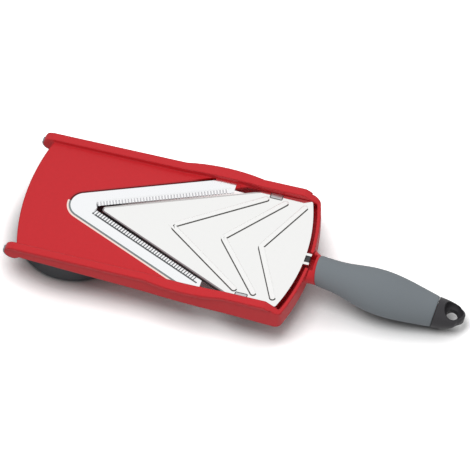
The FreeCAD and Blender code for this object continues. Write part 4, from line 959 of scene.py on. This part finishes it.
@dataclass
class Stage:
    """Floor, light, background and camera.

    Attributes:
        pixels: Side of the square picture.
        scale: Pixels per millimetre of the parallel view.
        azimuth: Turn of the camera round the slicer, in degrees.
        elevation: Camera's height above the horizon, in degrees.
        spot: A point on the deck, in millimetres.
        spot_pixel: Where that point stands in the picture.
        floor_white: Plain tone of the floor.
        floor_gain: Its tone to the camera in the open.
        painted_shadow_power: How fast the painted shadow darkens that tone close to the slicer.
        painted_shadow_reach: How far from the slicer the painted shadow reaches, in metres.
        floor_half: Half the floor's side, in metres.
        painted_shadow_samples: Rays that look for what stands on the floor, for the painted shadow.
        sky: Strength of the even light.
        key: Power of the key lamp, in watts.
        key_place: Where the key lamp hangs, in metres.
        key_size: Side of the key lamp, in metres.
        back_share: Power of the back lamp, as a share of the key lamp's.
        back_place: Where the back lamp hangs, in metres.
        back_size: Side of the back lamp, in metres.
        aim: Where the lamps point, in metres.
    """

    pixels: float = 470.0
    scale: float = 1.14
    azimuth: float = 16.4
    elevation: float = 53.9
    spot: Colour = (153.0, 0.0, 50.0)
    spot_pixel: tuple[float, float] = (242.29, 242.54)
    floor_white: float = 0.80
    floor_gain: float = 1.85
    painted_shadow_power: float = 1.3
    painted_shadow_reach: float = 0.06
    floor_half: float = 6.0
    painted_shadow_samples: int = 16
    sky: float = 0.42
    key: float = 5.2
    key_place: Colour = (0.14, -0.24, 1.0)
    key_size: float = 0.55
    back_share: float = 0.3
    back_place: Colour = (0.25, 0.75, 0.75)
    back_size: float = 1.0
    aim: Colour = (0.15, 0.0, 0.03)

    def build(self) -> None:
        """Put up the floor, the lamps, the world and the camera."""
        self._floor()
        self._world()
        self._lamp("key_lamp", self.key_place, self.key_size, self.key)
        self._lamp("back_lamp", self.back_place, self.back_size, self.back_share * self.key)
        self._camera()

    def _floor(self) -> None:
        """Pale floor, white to the camera, with a painted shadow close to the slicer, not seen from
        below.

        Its tone to the camera is gain * openness^power, where openness is the free share of the
        sky within the reach: this darkening close to the slicer is painted shadow, on top of the
        shadow that the lamps cast. To the rest of the light it is a plain pale floor.
        """
        mesh = bpy.data.meshes.new("floor")
        half = self.floor_half
        corners = [(-half, -half, 0), (half, -half, 0), (half, half, 0), (-half, half, 0)]
        mesh.from_pydata(corners, [], [(0, 1, 2, 3)])
        floor = bpy.data.objects.new("floor", mesh)
        bpy.context.scene.collection.objects.link(floor)
        material = bpy.data.materials.new("floor_white")
        material.use_nodes = True
        tree = material.node_tree
        tree.nodes.remove(tree.nodes["Principled BSDF"])
        matt = tree.nodes.new("ShaderNodeBsdfDiffuse")
        # Openness near the slicer, from which the painted shadow on the floor is made.
        near = tree.nodes.new("ShaderNodeAmbientOcclusion")
        near.samples = self.painted_shadow_samples
        near.inputs["Distance"].default_value = self.painted_shadow_reach
        deep = add_math(tree, "POWER", 0.0, self.painted_shadow_power)
        painted_shadow = add_math(tree, "MULTIPLY_ADD", 0.0, self.floor_gain, -self.floor_white)
        tone = add_math(tree, "MULTIPLY_ADD", 0.0, 0.0, self.floor_white)
        clear = tree.nodes.new("ShaderNodeBsdfTransparent")
        side = tree.nodes.new("ShaderNodeNewGeometry")
        path = tree.nodes.new("ShaderNodeLightPath")
        mix = tree.nodes.new("ShaderNodeMixShader")
        join(tree, (near.outputs["AO"], deep.inputs[0]), (deep.outputs[0], painted_shadow.inputs[0]),
             (painted_shadow.outputs[0], tone.inputs[0]), (path.outputs["Is Camera Ray"], tone.inputs[1]),
             (tone.outputs[0], matt.inputs["Color"]),
             (side.outputs["Backfacing"], mix.inputs[0]), (matt.outputs[0], mix.inputs[1]),
             (clear.outputs[0], mix.inputs[2]),
             (mix.outputs[0], tree.nodes["Material Output"].inputs["Surface"]))
        mesh.materials.append(material)

    @staticmethod
    def _seen(tree: bpy.types.NodeTree) -> bpy.types.NodeSocket:
        """One for rays of the camera, of gloss and of transmission, and zero for the rest.

        Args:
            tree: The node tree that the test goes into.

        Returns:
            The socket that gives it.
        """
        path = tree.nodes.new("ShaderNodeLightPath")
        two = add_math(tree, "MAXIMUM")
        three = add_math(tree, "MAXIMUM")
        join(tree, (path.outputs["Is Camera Ray"], two.inputs[0]),
             (path.outputs["Is Glossy Ray"], two.inputs[1]), (two.outputs[0], three.inputs[0]),
             (path.outputs["Is Transmission Ray"], three.inputs[1]))
        return three.outputs[0]

    def _world(self) -> None:
        """White to the camera and in reflections, and a soft even sky for the light."""
        world = bpy.data.worlds.new("studio")
        world.use_nodes = True
        tree = world.node_tree
        sky = tree.nodes["Background"]
        strength = add_math(tree, "MULTIPLY_ADD", 0.0, 1.0 - self.sky, self.sky)
        join(tree, (self._seen(tree), strength.inputs[0]),
             (strength.outputs[0], sky.inputs["Strength"]))
        sky.inputs["Color"].default_value = (1.0, 1.0, 1.0, 1.0)
        bpy.context.scene.world = world

    def _lamp(self, name: str, place: Colour, size: float, power: float) -> None:
        """A soft square lamp turned towards the slicer.

        Args:
            name: Name of the lamp.
            place: Where it hangs, in metres.
            size: Side of the lamp.
            power: Its power, in watts.
        """
        light = bpy.data.lights.new(name, "AREA")
        light.size = size
        light.energy = power
        lamp = bpy.data.objects.new(name, light)
        lamp.location = place
        lamp.visible_glossy = False
        aim = Vector(self.aim) - Vector(place)
        lamp.rotation_euler = aim.to_track_quat("-Z", "Y").to_euler()
        bpy.context.scene.collection.objects.link(lamp)

    def _camera(self) -> None:
        """Parallel camera that puts the deck's point on its pixel."""
        turn, rise = math.radians(self.azimuth), math.radians(self.elevation)
        right = Vector((math.cos(turn), math.sin(turn), 0.0))
        level = math.cos(rise)
        back = Vector((math.sin(turn) * level, -math.cos(turn) * level, math.sin(rise)))
        up = back.cross(right)
        shift_right = (self.pixels / 2 - self.spot_pixel[0]) / self.scale
        shift_down = (self.pixels / 2 - self.spot_pixel[1]) / self.scale
        target = (Vector(self.spot) + right * shift_right - up * shift_down) * MM
        data = bpy.data.cameras.new("camera")
        data.type = "ORTHO"
        data.ortho_scale = self.pixels / self.scale * MM
        camera = bpy.data.objects.new("camera", data)
        camera.location = target + back
        camera.rotation_euler = back.to_track_quat("Z", "Y").to_euler()
        bpy.context.scene.collection.objects.link(camera)
        bpy.context.scene.camera = camera


def main() -> None:
    """Build and dress every sub-assembly, then set the stage."""
    logging.basicConfig(level=logging.INFO, format="%(name)s %(message)s")
    bpy.context.scene.view_settings.view_transform = "Standard"
    shape = VShape()
    handle = Handle()
    handle.build()
    EndCap(handle).build()
    SlicingPlate(shape).build()
    Blade(shape).build()
    LugOutline().build()
    CadPieces().dress({"grip", "end_cap"})
    Stage().build()


if __name__ == "__main__":
    main()
